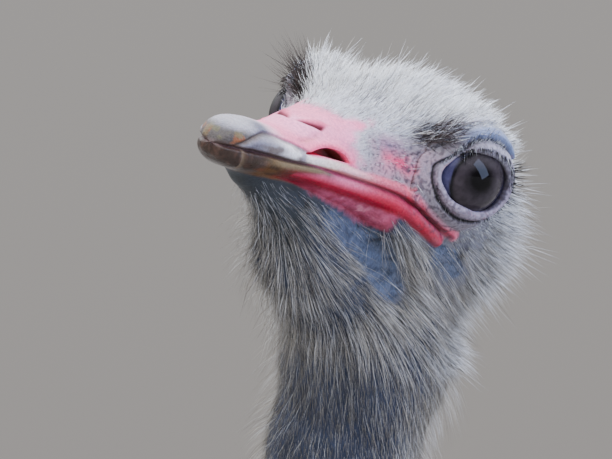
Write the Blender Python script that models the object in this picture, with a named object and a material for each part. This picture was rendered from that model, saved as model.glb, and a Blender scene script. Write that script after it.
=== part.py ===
"""Adult cock ostrich standing at rest, life size, in metres: it faces -Y, +Z is up, and its soles lie at z = 0.

Head, neck and trunk are one long form, described by a distance function and parted with thin plane cuts. Rays from a
line through the middle of that form find its surface, ring by ring, from the bill tip back to the rump. The legs,
toes, wings and tail are lofts, trimmed where they meet their neighbours. Outlines run out to the tips of the coat.
"""

import bpy
import numpy as np
from mathutils import Matrix

for item in list(bpy.data.objects):
    bpy.data.objects.remove(item)

# ---- driving sizes, metres ----
GAP = 0.0003
HEAD_AT = np.array([0.030, -0.552, 2.337])
HEAD_PITCH = np.radians(4.2)
HEAD_ROLL = np.radians(17.4)
BILL_LENGTH = 0.1403
BILL_ROOT = 0.075
EYE_RADIUS = 0.0226
EYE_SPREAD = 0.0646
LID_WIDTH = 0.0308
EYE_TURN = np.radians(65.4)
TRUNK_HEIGHT = 1.13
STANCE = 0.205
STRIDE = 0.09
FOOT_SET = 0.052
HOCK_HEIGHT = 0.49
TOE_LENGTH = 0.150
OUTER_TOE_LENGTH = 0.088

MM = 0.001

# ---- head proportions: distance forward of the eyes, then the value, millimetres ----
MOUTH = [(-10, -34), (0, -31), (6, -29.5), (16, -25.5), (26, -20.5), (36, -18), (50, -16.5), (65, -15.2),
         (80, -14), (100, -13.6), (125, -13), (142, -13.8)]
BILL_WIDTH = [(0, 37), (20, 33.5), (40, 28.5), (60, 23.2), (77, 19.6), (95, 17.2), (110, 15.8), (122, 14.2),
              (130, 11.6), (135, 8.6), (138, 5.4), (140.3, 0.6)]
BILL_TOP = [(30, 15), (45, 12), (58, 8.5), (66, 6), (73.5, 2.8), (81, -0.8), (97, -2.3), (105, -2), (117, -1.2),
            (127, -2.6), (133, -5.2), (137, -8.3), (139.3, -11), (140.3, -13)]
BILL_FLOOR = [(20, -37), (31, -35.4), (43, -33), (62, -29.8), (81, -26), (97, -23.6), (112, -22.8), (124, -22.6),
              (130, -22), (136, -20.2), (139.3, -17), (140.3, -14.5)]
SKULL_TOP = [(-62, -9.5), (-59, -2), (-52, 7), (-40, 16.5), (-24, 23), (-5, 25.5), (12, 25), (28, 21), (42, 15.5),
             (55, 9), (70, 0)]
SKULL_FLOOR = [(-62, -10.5), (-59, -18), (-52, -27), (-40, -34), (70, -34)]
SKULL_WIDTH = [(-62, 0.6), (-59, 12), (-52, 21.5), (-40, 30), (-24, 35.5), (-8, 37), (10, 36), (24, 32.5), (40, 26),
               (55, 21), (70, 16)]

# ---- neck and back: the middle line from the skull down, and the half-width out to the coat ----
NECK_LINE = [(0.0016, -0.5305, 2.2476), (-0.0135, -0.5255, 2.206), (-0.028, -0.520, 2.12), (-0.034, -0.519, 2.02),
             (-0.031, -0.527, 1.90), (-0.021, -0.539, 1.77), (-0.010, -0.544, 1.64)]
NECK_REACH = [0.0360, 0.0325, 0.0325, 0.0345, 0.038, 0.044, 0.052]
BREAST_LINE = [(0.0, -0.530, 1.51), (0.0, -0.485, 1.385), (0.0, -0.41, 1.28), (0.0, -0.31, 1.20)]
BREAST_REACH = [0.064, 0.085, 0.125, 0.172]
THROAT_PIVOT = np.array([0.075, -0.095])
BACK_PIVOT = np.array([-0.245, 1.64])


# ---- shape helpers ----
def curve(x, points):
    """A smooth line through the named points, flat past its ends."""
    xs, ys = np.array(points, float).T
    slope = np.gradient(ys, xs)
    x = np.clip(x, xs[0], xs[-1])
    i = np.clip(np.searchsorted(xs, x) - 1, 0, len(xs) - 2)
    h = xs[i + 1] - xs[i]
    t = (x - xs[i]) / h
    start = (1 + 2 * t) * (1 - t) ** 2 * ys[i] + t * (1 - t) ** 2 * h * slope[i]
    return start + t * t * (3 - 2 * t) * ys[i + 1] + t * t * (t - 1) * h * slope[i + 1]


def step(x, low, high):
    """0 below low, 1 above high, and smooth between."""
    t = np.clip((x - low) / (high - low), 0, 1)
    return t * t * (3 - 2 * t)


def blend(a, b, seam):
    """The union of two distances, with a fillet as wide as the seam."""
    h = np.clip(0.5 + 0.5 * (b - a) / seam, 0, 1)
    return b * (1 - h) + a * h - seam * h * (1 - h)


def egg(p, centre, radii):
    """Distance to an ellipsoid."""
    q = (p - centre) / radii
    n = np.linalg.norm(q, axis=1)
    return n * (n - 1) / np.maximum(np.linalg.norm(q / radii, axis=1), 1e-9)


def limb(p, a, b, ra, rb):
    """Distance to a round cone from a to b."""
    a = np.array(a, float)
    d = np.array(b, float) - a
    t = np.clip((p - a) @ d / (d @ d), 0, 1)
    return np.linalg.norm(p - a - t[:, None] * d, axis=1) - (ra + (rb - ra) * t)


def profile(p, width, top, floor, middle, power):
    """Distance to a bar along x whose section follows a half-width, a top and a floor line."""
    h = np.maximum(np.where(p[:, 2] > middle, top - middle, middle - floor), 0.3)
    rise = p[:, 2] - middle
    g = ((np.abs(p[:, 1]) / np.maximum(width, 0.3)) ** power + (np.abs(rise) / h) ** power) ** (1 / power)
    reach = np.hypot(p[:, 1], rise)
    return reach - reach / np.maximum(g, 1e-6)


# ---- head frame: forward, left and up, from the point midway between the eyes ----
forward = np.array([0, -np.cos(HEAD_PITCH), np.sin(HEAD_PITCH)])
level = np.array([1.0, 0, 0])
upright = np.cross(forward, level)
left = np.cos(HEAD_ROLL) * level - np.sin(HEAD_ROLL) * upright
up = np.cross(forward, left)
HEAD_AXES = np.array([forward, left, up])


def to_head(p):
    return (p - HEAD_AT) @ HEAD_AXES.T / MM


def to_world(p):
    return np.asarray(p, float) * MM @ HEAD_AXES + HEAD_AT


# ---- the form ----
def head_form(p):
    """Distance to the head, millimetres in the head frame."""
    x = p[:, 0]
    m = np.stack([x, np.abs(p[:, 1]), p[:, 2]], 1)
    bill = profile(p, curve(x, BILL_WIDTH), curve(x, BILL_TOP), curve(x, BILL_FLOOR), curve(x, MOUTH), 2.2)
    bill = np.maximum(bill, -(x + 5))
    skull = profile(p, curve(x, SKULL_WIDTH), curve(x, SKULL_TOP), curve(x, SKULL_FLOOR), -10, 2.1)
    skull = np.maximum(skull, np.maximum(x - 70, -62.5 - x))
    d = blend(skull, bill, 9)
    eye = np.array([3.6, EYE_SPREAD / MM / 2, -4.1])
    d = blend(d, np.linalg.norm(m - eye, axis=1) - EYE_RADIUS / MM - 2.2, 8)
    # brow shelf
    d = blend(d, limb(m, (30, 20, 8), (8, 40, 14.5), 6, 6), 10)
    d = blend(d, limb(m, (8, 40, 14.5), (-20, 37, 8), 6, 7), 9)
    # cheek and jaw
    d = blend(d, egg(m, (-16, 25, -35), (29, 14, 19)), 14)
    d = blend(d, limb(m, (30, 25, -30), (-24, 26, -43), 5, 8), 12)
    # throat
    d = blend(d, limb(p, (104, 0, -24), (58, 0, -40), 6, 14), 14)
    d = blend(d, limb(p, (58, 0, -40), (14, 0, -64), 14, 27), 16)
    # nape
    d = blend(d, limb(p, (-24, 0, -20), (-14, 0, -68), 31, 29), 22)
    return d


def neck_form(p):
    """Distance to the neck and trunk, out to the coat, in metres."""
    line = NECK_LINE + BREAST_LINE
    reach = NECK_REACH + BREAST_REACH
    d = limb(p, to_world([(-14, 0, -68)])[0], line[0], 0.0325, reach[0])
    for a, b, ra, rb in zip(line, line[1:], reach, reach[1:]):
        d = np.minimum(d, blend(d, limb(p, a, b, ra, rb), 0.012))
    return d


def trunk_form(p):
    """Distance to the trunk with its plumes, in metres."""
    d = egg(p, (0, 0.075, TRUNK_HEIGHT + 0.015), (0.235, 0.440, 0.270))
    d = blend(d, egg(p, (0, -0.20, TRUNK_HEIGHT - 0.01), (0.185, 0.235, 0.215)), 0.10)
    return blend(d, egg(p, (0, 0.34, TRUNK_HEIGHT + 0.05), (0.165, 0.235, 0.190)), 0.10)


def coat_depth(p):
    """How far the coat of the head stands out from its skin, millimetres in the head frame."""
    bare = step(p[:, 0], 22, 62)
    crown = step(p[:, 2], -6, 16) * step(-p[:, 0], -46, -16) * (1 - 0.6 * step(np.abs(p[:, 1]), 20, 40))
    nape = step(-p[:, 0], 18, 48)
    return np.maximum(10 * crown, 8 * nape) + 2.6 * (1 - bare)


def form(p):
    """Distance to the whole line of the bird, in metres."""
    d = neck_form(p)
    near_head = p[:, 2] > 2.05
    if near_head.any():
        q = to_head(p[near_head])
        d[near_head] = blend((head_form(q) - coat_depth(q)) * MM, d[near_head], 0.016)
    low = p[:, 2] < 1.75
    if low.any():
        d[low] = blend(d[low], trunk_form(p[low]), 0.09)
    return d


# ---- the middle line, and a cutting plane at each place along it ----
def middle(s):
    """Centre, dorsal and left directions: s is 0-1 bill, 1-2 head, 2-3 neck, 3-4 breast, 4-5 trunk."""
    t = s - min(int(s), 4)
    if s < 1:
        x = (BILL_LENGTH - 0.0003 - (BILL_LENGTH - BILL_ROOT) * t) / MM
        return to_world((x, 0, curve(x, MOUTH))), up, left
    if s < 2:
        turn = np.radians(90 * t)
        x, z = -np.sin(turn), np.cos(turn)
        away = curve(90 * t, [(0, 0.081), (20, 0.094), (38, 0.100), (60, 0.096), (90, 0.103)])
        spot = THROAT_PIVOT + away * np.array([x, z])
        return to_world(np.array([spot[0], 0, spot[1]]) / MM), x * forward + z * up, left
    if s < 3:
        knots = np.linspace(0, 1, len(NECK_LINE))
        at = np.array([curve(t, list(zip(knots, c))) for c in np.array(NECK_LINE).T])
        ahead = np.array([curve(t + 0.02, list(zip(knots, c))) for c in np.array(NECK_LINE).T])
        behind = np.array([curve(t - 0.02, list(zip(knots, c))) for c in np.array(NECK_LINE).T])
        run = (ahead - behind) / np.linalg.norm(ahead - behind)
        run = run * step(t, 0, 0.12) - up * (1 - step(t, 0, 0.12))
        run = run * (1 - step(t, 0.85, 1)) + np.array([0, 0, -1.0]) * step(t, 0.85, 1)
        run /= np.linalg.norm(run)
        turn = step(t, 0, 0.6)
        dorsal = -forward * (1 - turn) + np.array([0, 1.0, 0]) * turn
        dorsal -= run * (dorsal @ run)
        dorsal /= np.linalg.norm(dorsal)
        return at, dorsal, np.cross(run, dorsal)
    if s < 4:
        turn = np.radians(90 * t)
        y, z = -np.cos(turn), -np.sin(turn)
        away = curve(90 * t, [(0, 0.299), (30, 0.330), (60, 0.405), (90, 0.490)])
        spot = BACK_PIVOT + away * np.array([y, z])
        return np.array([0, spot[0], spot[1]]), np.array([0, -y, -z]), level
    y = BACK_PIVOT[0] + (0.565 - BACK_PIVOT[0]) * t
    return np.array([0, y, curve(y, [(-0.25, 1.15), (0.1, 1.15), (0.55, 1.19)])]), np.array([0, 0, 1.0]), level


def surface(centre, directions):
    """Where rays from the centres leave the form."""
    t = np.maximum(MM, -0.7 * form(centre))
    last = np.zeros(len(t))
    for _ in range(70):
        d = form(centre + directions * t[:, None])
        inside = d < 0
        last = np.where(inside, t, last)
        t = t + np.where(inside, np.maximum(-0.7 * d, 0.0003), 0)
        if not inside.any():
            break
    for _ in range(12):
        between = (last + t) / 2
        inside = form(centre + directions * between[:, None]) < 0
        last = np.where(inside, between, last)
        t = np.where(inside, t, between)
    return centre + directions * t[:, None]


def rings_along(places, angles, lift=0.0):
    """Rings of surface points at places on the middle line, 0 being dorsal and a quarter turn the left side."""
    centres, rays = [], []
    for s in places:
        at, dorsal, side = middle(s)
        centres.append(np.repeat((at + dorsal * lift)[None], len(angles), 0))
        rays.append(np.cos(angles)[:, None] * dorsal + np.sin(angles)[:, None] * side)
    found = surface(np.concatenate(centres), np.concatenate(rays))
    return found.reshape(len(places), len(angles), 3)


# ---- mesh helpers ----
def material(name, colour, roughness):
    paint = bpy.data.materials.new(name)
    paint.use_nodes = True
    shader = paint.node_tree.nodes["Principled BSDF"]
    shader.inputs["Base Color"].default_value = (*colour, 1)
    shader.inputs["Roughness"].default_value = roughness
    return paint


def build(name, rings, paint):
    """A closed smooth piece through rings of points, with a flat cap on each end."""
    rings = np.asarray(rings)
    count, sides = rings.shape[:2]
    index = np.arange(count * sides).reshape(count, sides)
    faces = [tuple(index[0][::-1]), tuple(index[-1])]
    for a, b in zip(index, index[1:]):
        for j in range(sides):
            k = (j + 1) % sides
            faces.append((a[j], a[k], b[k]))
            faces.append((a[j], b[k], b[j]))
    mesh = bpy.data.meshes.new(name)
    mesh.from_pydata(rings.reshape(-1, 3).tolist(), [], faces)
    mesh.update()
    mesh.shade_smooth()
    mesh.set_sharp_from_angle(angle=np.radians(50))
    piece = bpy.data.objects.new(name, mesh)
    bpy.context.scene.collection.objects.link(piece)
    if paint is None:
        piece.hide_render = True
        piece.display_type = "WIRE"
    else:
        mesh.materials.append(paint)
    return piece


def cut(piece, cutter):
    """Take the cutter's shape out of the piece."""
    trim = piece.modifiers.new(cutter.name, "BOOLEAN")
    trim.operation = "DIFFERENCE"
    trim.solver = "EXACT"
    trim.object = cutter


def bar_rings(table, across=(1, 0, 0), sides=16, grow=0.0, ground=None, power=2.0):
    """Rings along a line, and its run at each: a table row is a centre, the half-width across and the one square to it."""
    line = np.array(table[:, :3], float)
    run = np.gradient(line, axis=0)
    run /= np.linalg.norm(run, axis=1)[:, None]
    line[0] -= run[0] * grow
    line[-1] += run[-1] * grow
    across = np.broadcast_to(np.array(across, float), line.shape)
    across = across - run * (across * run).sum(1)[:, None]
    across /= np.linalg.norm(across, axis=1)[:, None]
    square = np.cross(run, across)
    turn = 2 * np.pi * np.arange(sides) / sides
    c = np.sign(np.cos(turn)) * np.abs(np.cos(turn)) ** (2 / power)
    s = np.sign(np.sin(turn)) * np.abs(np.sin(turn)) ** (2 / power)
    rings = line[:, None] + across[:, None] * ((table[:, 3, None] + grow) * c)[..., None]
    rings = rings + square[:, None] * ((table[:, 4, None] + grow) * s)[..., None]
    if ground is not None:
        rings[..., 2] = np.maximum(rings[..., 2], ground)
    return rings, run


def bar(name, table, paint, **more):
    """A closed bar through the table's rings."""
    return build(name, bar_rings(table, **more)[0], paint)


def along(count, *points):
    """Values spread along smooth lines through (place, value...) points."""
    points = np.array(points, float)
    t = np.linspace(points[0, 0], points[-1, 0], count)
    columns = [curve(t, list(zip(points[:, 0], column))) for column in points.T[1:]]
    return np.stack(columns, 1)


# ---- materials ----
HORN = material("bill horn", (0.24, 0.17, 0.15), 0.45)
SKIN = material("blue-grey skin", (0.20, 0.22, 0.27), 0.6)
CROWN = material("head with grey down", (0.36, 0.33, 0.31), 0.8)
EYE = material("dark eye", (0.012, 0.008, 0.009), 0.08)
BLACK = material("black plumes", (0.012, 0.011, 0.012), 0.75)
WHITE = material("white plumes", (0.75, 0.72, 0.66), 0.85)
SCALE = material("leg scales", (0.36, 0.24, 0.21), 0.55)
CLAW = material("claw horn", (0.16, 0.13, 0.11), 0.4)

# ---- head, neck and trunk, parted by thin cuts ----
AROUND = 2 * np.pi * np.arange(24) / 24
HALF = GAP / 2
bill_step = HALF / (BILL_LENGTH - BILL_ROOT)
neck_step = HALF / 0.62
breast_step = HALF / 0.19 / np.radians(90)

bill_places = np.concatenate([[0.0, 0.008, 0.03, 0.07, 0.13], np.linspace(0.22, 1 - bill_step, 8)])
upper_fan = np.radians(np.linspace(-90, 90, 15))
lower_fan = np.radians(np.linspace(90, 270, 13))
bill_upper = build("bill_upper", rings_along(bill_places, upper_fan, HALF), HORN)
bill_lower = build("bill_lower", rings_along(bill_places, lower_fan, -HALF), HORN)

head_places = np.concatenate([np.linspace(1, 2, 23), [2.06, 2.12 - neck_step]])
head_rings = rings_along(head_places, AROUND)
head_rings[0] -= forward * HALF
head = build("head", head_rings, CROWN)

AROUND_NECK = 2 * np.pi * np.arange(20) / 20
neck_cuts = (2.12, 2.42, 2.74, 3.34)
neck_upper_places = np.linspace(neck_cuts[0] + neck_step, neck_cuts[1] - neck_step, 6)
neck_middle_places = np.linspace(neck_cuts[1] + neck_step, neck_cuts[2] - neck_step, 6)
neck_lower_places = np.concatenate([[neck_cuts[2] + neck_step, 2.85, 2.95, 3.04, 3.12, 3.2, 3.27],
                                    [neck_cuts[3] - breast_step]])
build("neck_upper", rings_along(neck_upper_places, AROUND_NECK), SKIN)
build("neck_middle", rings_along(neck_middle_places, AROUND_NECK), SKIN)
build("neck_lower", rings_along(neck_lower_places, AROUND_NECK), SKIN)

AROUND_TRUNK = 2 * np.pi * np.arange(22) / 22
trunk_places = np.concatenate([[neck_cuts[3] + breast_step], np.linspace(3.42, 3.9, 6), np.linspace(4, 4.9, 12),
                               [4.94, 4.97, 4.988]])
trunk_rings = rings_along(trunk_places, AROUND_TRUNK)
trunk = build("trunk", trunk_rings, BLACK)
trunk_middle = trunk_rings.mean(1)[:, None]
outward = trunk_rings - trunk_middle
outward /= np.linalg.norm(outward, axis=2)[..., None]
trunk_cutter = build("trunk cutter", trunk_rings + outward * GAP * 2, None)


# ---- eyes, and the sockets with their lid openings ----
def ball_rows(grow):
    """The back of an eyeball: distance along its axis, then its radius twice, millimetres."""
    radius = EYE_RADIUS / MM + grow
    turn = np.radians(np.linspace(170, 41, 10))
    return [(radius * np.cos(a), radius * np.sin(a), radius * np.sin(a)) for a in turn]


def turned(name, rows, side, paint):
    """A piece around an eye's axis: rows are distance out along it, then half-width and half-height, millimetres."""
    rows = np.array(rows)
    axis = np.array([np.cos(EYE_TURN), side * np.sin(EYE_TURN), 0.03])
    axis /= np.linalg.norm(axis)
    flat = np.array([axis[1], -axis[0], 0]) / np.hypot(axis[0], axis[1])
    rise = np.cross(flat, axis)
    turn = 2 * np.pi * np.arange(16) / 16
    rings = np.array([3.6, side * EYE_SPREAD / MM / 2, -4.1]) + rows[:, None, :1] * axis
    rings = rings + (rows[:, 1, None] * np.cos(turn))[..., None] * flat
    rings = rings + (rows[:, 2, None] * np.sin(turn))[..., None] * rise
    return build(name, to_world(rings)[:, ::-1], paint)


CORNEA = 17.4
dome_back = EYE_RADIUS / MM + 3 - CORNEA
dome = [(dome_back + CORNEA * np.cos(a), CORNEA * np.sin(a), CORNEA * np.sin(a)) for a in np.radians([54, 38, 22, 7])]
lid_opening = [(18.7, LID_WIDTH / MM / 2, 14.7), (22, 16.6, 15.2), (36, 22, 20)]
for side, word in ((1, "left"), (-1, "right")):
    turned("eye_" + word, ball_rows(0) + dome, side, EYE)
    cut(head, turned("socket cutter " + word, ball_rows(GAP / MM) + lid_opening, side, None))


# ---- legs and feet ----
def leg(word, side, stride):
    """One leg, its foot set forward by the stride."""
    x = side * STANCE / 2
    foot = FOOT_SET - stride
    knee = -0.078 - 0.35 * stride
    hock = 0.147 - 0.55 * stride
    line = along(26, (0, side * 0.115, 0.02, 1.08, 0.085, 0.125),
                 (0.12, side * 0.138, knee + 0.03, 0.96, 0.078, 0.118),
                 (0.24, side * 0.140, knee + 0.075, 0.84, 0.067, 0.094),
                 (0.36, side * 0.134, knee + 0.125, 0.72, 0.052, 0.066),
                 (0.48, side * 0.124, hock - 0.028, 0.60, 0.034, 0.041),
                 (0.56, side * 0.117, hock - 0.002, HOCK_HEIGHT + 0.03, 0.034, 0.041),
                 (0.60, side * 0.116, hock, HOCK_HEIGHT, 0.036, 0.042),
                 (0.66, side * 0.115, hock - 0.010, HOCK_HEIGHT - 0.06, 0.028, 0.033),
                 (0.80, side * 0.110, 0.62 * hock + 0.38 * (foot + 0.02), 0.29, 0.0215, 0.027),
                 (0.93, x * 1.02, 0.15 * hock + 0.85 * (foot + 0.02), 0.115, 0.0235, 0.029),
                 (0.975, x, foot + 0.018, 0.052, 0.030, 0.034), (1, x, foot + 0.018, 0.018, 0.018, 0.020))
    heel = foot + 0.048
    toe = along(10, (0, x, heel, 0.020, 0.010, 0.012), (0.1, x, heel - 0.012, 0.024, 0.026, 0.025),
                (0.35, x, heel - 0.060, 0.024, 0.030, 0.029),
                (0.62, x - side * 0.002, heel - 0.118, 0.021, 0.027, 0.025),
                (0.85, x - side * 0.006, heel - 0.166, 0.019, 0.0265, 0.0225),
                (1, x - side * 0.009, heel - TOE_LENGTH - 0.041, 0.016, 0.014, 0.013))
    tip = toe[-1, :3] + np.array([0, 0.008, 0.004])
    nail = along(6, (0, tip[0], tip[1] + 0.012, 0.021, 0.0125, 0.0105),
                 (0.5, tip[0] - side * 0.002, tip[1] - 0.022, 0.0165, 0.0110, 0.0085),
                 (1, tip[0] - side * 0.004, tip[1] - 0.047, 0.0065, 0.0030, 0.0030))
    out = np.array([side * np.sin(0.62), -np.cos(0.62), 0])
    start = np.array([x + side * 0.010, foot + 0.010, 0])
    small = []
    for t, z, wide, high in ((0, 0.022, 0.015, 0.018), (0.2, 0.022, 0.019, 0.022), (0.55, 0.018, 0.0175, 0.019),
                             (0.85, 0.0165, 0.0165, 0.0175), (1, 0.0145, 0.008, 0.010)):
        small.append((t, *(start + out * (OUTER_TOE_LENGTH + 0.02) * t)[:2], z, wide, high))
    small = along(7, *small)
    small_tip = start + out * (OUTER_TOE_LENGTH + 0.014)
    hook = along(4, (0, *small_tip[:2], 0.016, 0.0062, 0.0062),
                 (1, *(small_tip + out * 0.021)[:2], 0.0078, 0.0022, 0.0022))
    cross = (-out[1], out[0], 0)

    rings, run = bar_rings(line, sides=14)
    thigh_end = 9
    shank_end = 15
    pieces = []
    for name, first, last, paint in (("thigh_", 0, thigh_end, SKIN), ("shank_", thigh_end, shank_end, SKIN),
                                     ("tarsus_", shank_end, len(rings) - 1, SCALE)):
        length = rings[first:last + 1].copy()
        length[0] += run[first] * HALF
        length[-1] -= run[last] * HALF
        pieces.append(build(name + word, length, paint))
    big = bar("toe_big_" + word, toe, SCALE, sides=14, ground=0, power=2.3)
    outer = bar("toe_outer_" + word, small, SCALE, across=cross, sides=12, ground=0, power=2.3)
    claw = bar("claw_big_" + word, nail, CLAW, sides=10)
    hooked = bar("claw_outer_" + word, hook, CLAW, across=cross, sides=8)
    big_cutter = bar("toe cutter " + word, toe, None, sides=14, ground=-0.004, power=2.3, grow=GAP)
    outer_cutter = bar("outer toe cutter " + word, small, None, across=cross, sides=12, ground=-0.004, power=2.3,
                       grow=GAP)
    cut(pieces[0], trunk_cutter)
    cut(outer, big_cutter)
    cut(pieces[2], big_cutter)
    cut(pieces[2], outer_cutter)
    cut(claw, big_cutter)
    cut(hooked, outer_cutter)
    return bar("thigh cutter " + word, line[:thigh_end + 1], None, sides=14, grow=GAP)


thigh_cutters = [leg("left", 1, STRIDE / 2), leg("right", -1, -STRIDE / 2)]

# ---- wings and tail ----
for side, word in ((1, "left"), (-1, "right")):
    folded = along(9, (0, side * 0.118, -0.345, 1.215, 0.030, 0.040), (0.10, side * 0.172, -0.280, 1.220, 0.055, 0.110),
                   (0.4, side * 0.205, -0.075, 1.195, 0.072, 0.165), (0.65, side * 0.205, 0.135, 1.145, 0.078, 0.205),
                   (0.85, side * 0.185, 0.335, 1.07, 0.072, 0.195), (1, side * 0.165, 0.455, 0.99, 0.030, 0.085))
    wing = bar("wing_" + word, folded, BLACK, sides=13)
    cut(wing, trunk_cutter)
    cut(wing, thigh_cutters[0 if side > 0 else 1])

droop = along(8, (0, 0, 0.42, 1.27, 0.080, 0.070), (0.35, 0, 0.560, 1.20, 0.125, 0.085),
              (0.7, 0, 0.650, 1.06, 0.135, 0.080), (0.92, 0, 0.687, 0.93, 0.095, 0.056), (1, 0, 0.692, 0.885, 0.030, 0.020))
tail = bar("tail", droop, WHITE, sides=14)
cut(tail, trunk_cutter)

# ---- the origin: on the floor, under the middle of the whole bird ----
pieces = [item for item in bpy.data.objects if not item.hide_render]
corners = np.array([v.co for item in pieces for v in item.data.vertices])
centre = (corners.min(0) + corners.max(0)) / 2
for item in bpy.data.objects:
    item.data.transform(Matrix.Translation((-centre[0], -centre[1], 0)))
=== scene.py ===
"""A cock ostrich at rest, life size: skin, eyes, down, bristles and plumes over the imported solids."""

import bpy
import numpy as np
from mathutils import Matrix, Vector


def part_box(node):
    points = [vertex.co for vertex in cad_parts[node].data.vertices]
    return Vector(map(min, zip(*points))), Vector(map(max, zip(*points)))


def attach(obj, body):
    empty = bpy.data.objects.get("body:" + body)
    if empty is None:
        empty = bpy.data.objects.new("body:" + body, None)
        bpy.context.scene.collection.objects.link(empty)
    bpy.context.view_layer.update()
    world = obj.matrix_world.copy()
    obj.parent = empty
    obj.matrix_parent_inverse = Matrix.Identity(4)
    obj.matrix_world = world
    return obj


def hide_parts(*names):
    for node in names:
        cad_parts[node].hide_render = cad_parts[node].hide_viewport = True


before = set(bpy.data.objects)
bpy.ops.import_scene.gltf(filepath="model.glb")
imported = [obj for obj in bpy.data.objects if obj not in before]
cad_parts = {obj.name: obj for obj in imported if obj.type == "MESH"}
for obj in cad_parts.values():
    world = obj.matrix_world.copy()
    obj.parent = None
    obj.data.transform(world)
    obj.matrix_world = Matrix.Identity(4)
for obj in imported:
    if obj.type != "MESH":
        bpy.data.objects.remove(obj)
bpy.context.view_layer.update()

# ---- the bird's own measures ----
# The head is measured in millimetres forward, left and up from a point midway between the eyes.
# The eyes are found in the frame; the head is pitched up a little and rolled over to its left side.
MM = 0.001
HEAD_PITCH = np.radians(4.2)
HEAD_ROLL = np.radians(17.4)
EYE_SPOT = np.array([3.6, 32.3, -4.1])
EYE_TURN = np.radians(65.4)

forward = np.array([0, -np.cos(HEAD_PITCH), np.sin(HEAD_PITCH)])
level = np.array([1.0, 0, 0])
upright = np.cross(forward, level)
left = np.cos(HEAD_ROLL) * level - np.sin(HEAD_ROLL) * upright
up = np.cross(forward, left)
HEAD_AXES = np.array([forward, left, up])
eyes = [sum(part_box(name), Vector()) / 2 for name in ("eye_left", "eye_right")]
head_at = np.array((eyes[0] + eyes[1]) / 2) - MM * (EYE_SPOT[0] * forward + EYE_SPOT[2] * up)
bird = head_at - np.array([0.030, -0.552, 2.337])


def to_head(p):
    return (p - head_at) @ HEAD_AXES.T / MM


def to_world(p):
    return np.asarray(p, float) * MM @ HEAD_AXES + head_at


# ---- the skin ----
# One skin over bill, head, neck and trunk; the legs are separate pieces. It is thin and creased, drawn tight
# over the skull and swollen into lips at the gape. Its shape is a distance function, and rays from a line
# through the middle find its surface.
def curve(x, points):
    """A smooth line through the named points, flat past its ends."""
    xs, ys = np.array(points, float).T
    slope = np.gradient(ys, xs)
    x = np.clip(x, xs[0], xs[-1])
    i = np.clip(np.searchsorted(xs, x) - 1, 0, len(xs) - 2)
    h = xs[i + 1] - xs[i]
    t = (x - xs[i]) / h
    start = (1 + 2 * t) * (1 - t) ** 2 * ys[i] + t * (1 - t) ** 2 * h * slope[i]
    return start + t * t * (3 - 2 * t) * ys[i + 1] + t * t * (t - 1) * h * slope[i + 1]


def step(x, low, high):
    """0 below low, 1 above high, and smooth between."""
    t = np.clip((x - low) / (high - low), 0, 1)
    return t * t * (3 - 2 * t)


def between(x, a, b, c, d):
    """0 outside a to d, 1 from b to c."""
    return step(x, a, b) * (1 - step(x, c, d))


def bump(x, middle, width):
    """1 at the middle, falling away over the width to both sides."""
    return np.exp(-((x - middle) / width) ** 2)


def spot(a, b):
    """1 in the middle of a round spot, for distances in units of its reach."""
    return np.exp(-a ** 2 - b ** 2)


def join(a, b, seam):
    """The union of two distances, with a fillet as wide as the seam."""
    h = np.clip(0.5 + 0.5 * (b - a) / seam, 0, 1)
    return b * (1 - h) + a * h - seam * h * (1 - h)


def egg(p, centre, radii):
    """Distance to an egg-shaped body."""
    q = (p - centre) / radii
    n = np.linalg.norm(q, axis=1)
    return n * (n - 1) / np.maximum(np.linalg.norm(q / radii, axis=1), 1e-9)


def limb(p, a, b, ra, rb):
    """Distance to a round cone from a to b."""
    a = np.array(a, float)
    d = np.array(b, float) - a
    t = np.clip((p - a) @ d / (d @ d), 0, 1)
    return np.linalg.norm(p - a - t[:, None] * d, axis=1) - (ra + (rb - ra) * t)


def profile(p, width, top, floor, middle, power):
    """Distance to a bar along x whose section follows a half-width, a top and a floor line."""
    h = np.maximum(np.where(p[:, 2] > middle, top - middle, middle - floor), 0.3)
    rise = p[:, 2] - middle
    g = ((np.abs(p[:, 1]) / np.maximum(width, 0.3)) ** power + (np.abs(rise) / h) ** power) ** (1 / power)
    reach = np.hypot(p[:, 1], rise)
    return reach - reach / np.maximum(g, 1e-6)


def noise(p, seed):
    """Soft value noise, -1 to 1, over points whose unit is one lump."""
    cell = np.floor(p).astype(np.int64)
    f = p - cell
    f = f * f * (3 - 2 * f)
    total = np.zeros(len(p))
    for corner in np.ndindex(2, 2, 2):
        c = cell + np.array(corner)
        mixed = (c[:, 0] * 73856093) ^ (c[:, 1] * 19349663) ^ (c[:, 2] * 83492791) ^ (seed * 2654435761)
        mixed = (mixed ^ (mixed >> 13)) * 1274126177 & 0x7FFFFFFF
        weight = np.prod(np.where(corner, f, 1 - f), axis=1)
        total += weight * ((mixed >> 7) % 65536 / 32768 - 1)
    return total


MOUTH = [(-10, -34), (0, -31), (6, -29.5), (16, -25.5), (26, -20.8), (36, -18), (50, -16.5), (65, -15.2),
         (80, -14), (100, -13.6), (125, -12.6), (142, -13.8)]
BILL_WIDTH = [(0, 37), (20, 33.5), (40, 28.5), (60, 23.2), (77, 19.6), (95, 17.0), (110, 15.4), (121, 13.4),
              (128, 10.8), (132.5, 7.4), (135, 4.2), (136, 0.6)]
BILL_TOP = [(30, 15), (45, 12), (58, 8.8), (66, 6.8), (73.5, 4.0), (81, 0.6), (90, -1.4), (97, -2.2),
            (105, -2), (116, -1.3), (125, -2.4), (130.5, -5.2), (134, -8.3), (135.4, -11), (136, -13)]
BILL_FLOOR = [(20, -37), (31, -35.2), (43, -31.6), (62, -27.6), (81, -23.8), (97, -22.4), (112, -22.4),
              (122, -22.4), (128, -21.6), (133, -19.2), (135.2, -16.8), (136, -14.5)]
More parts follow.
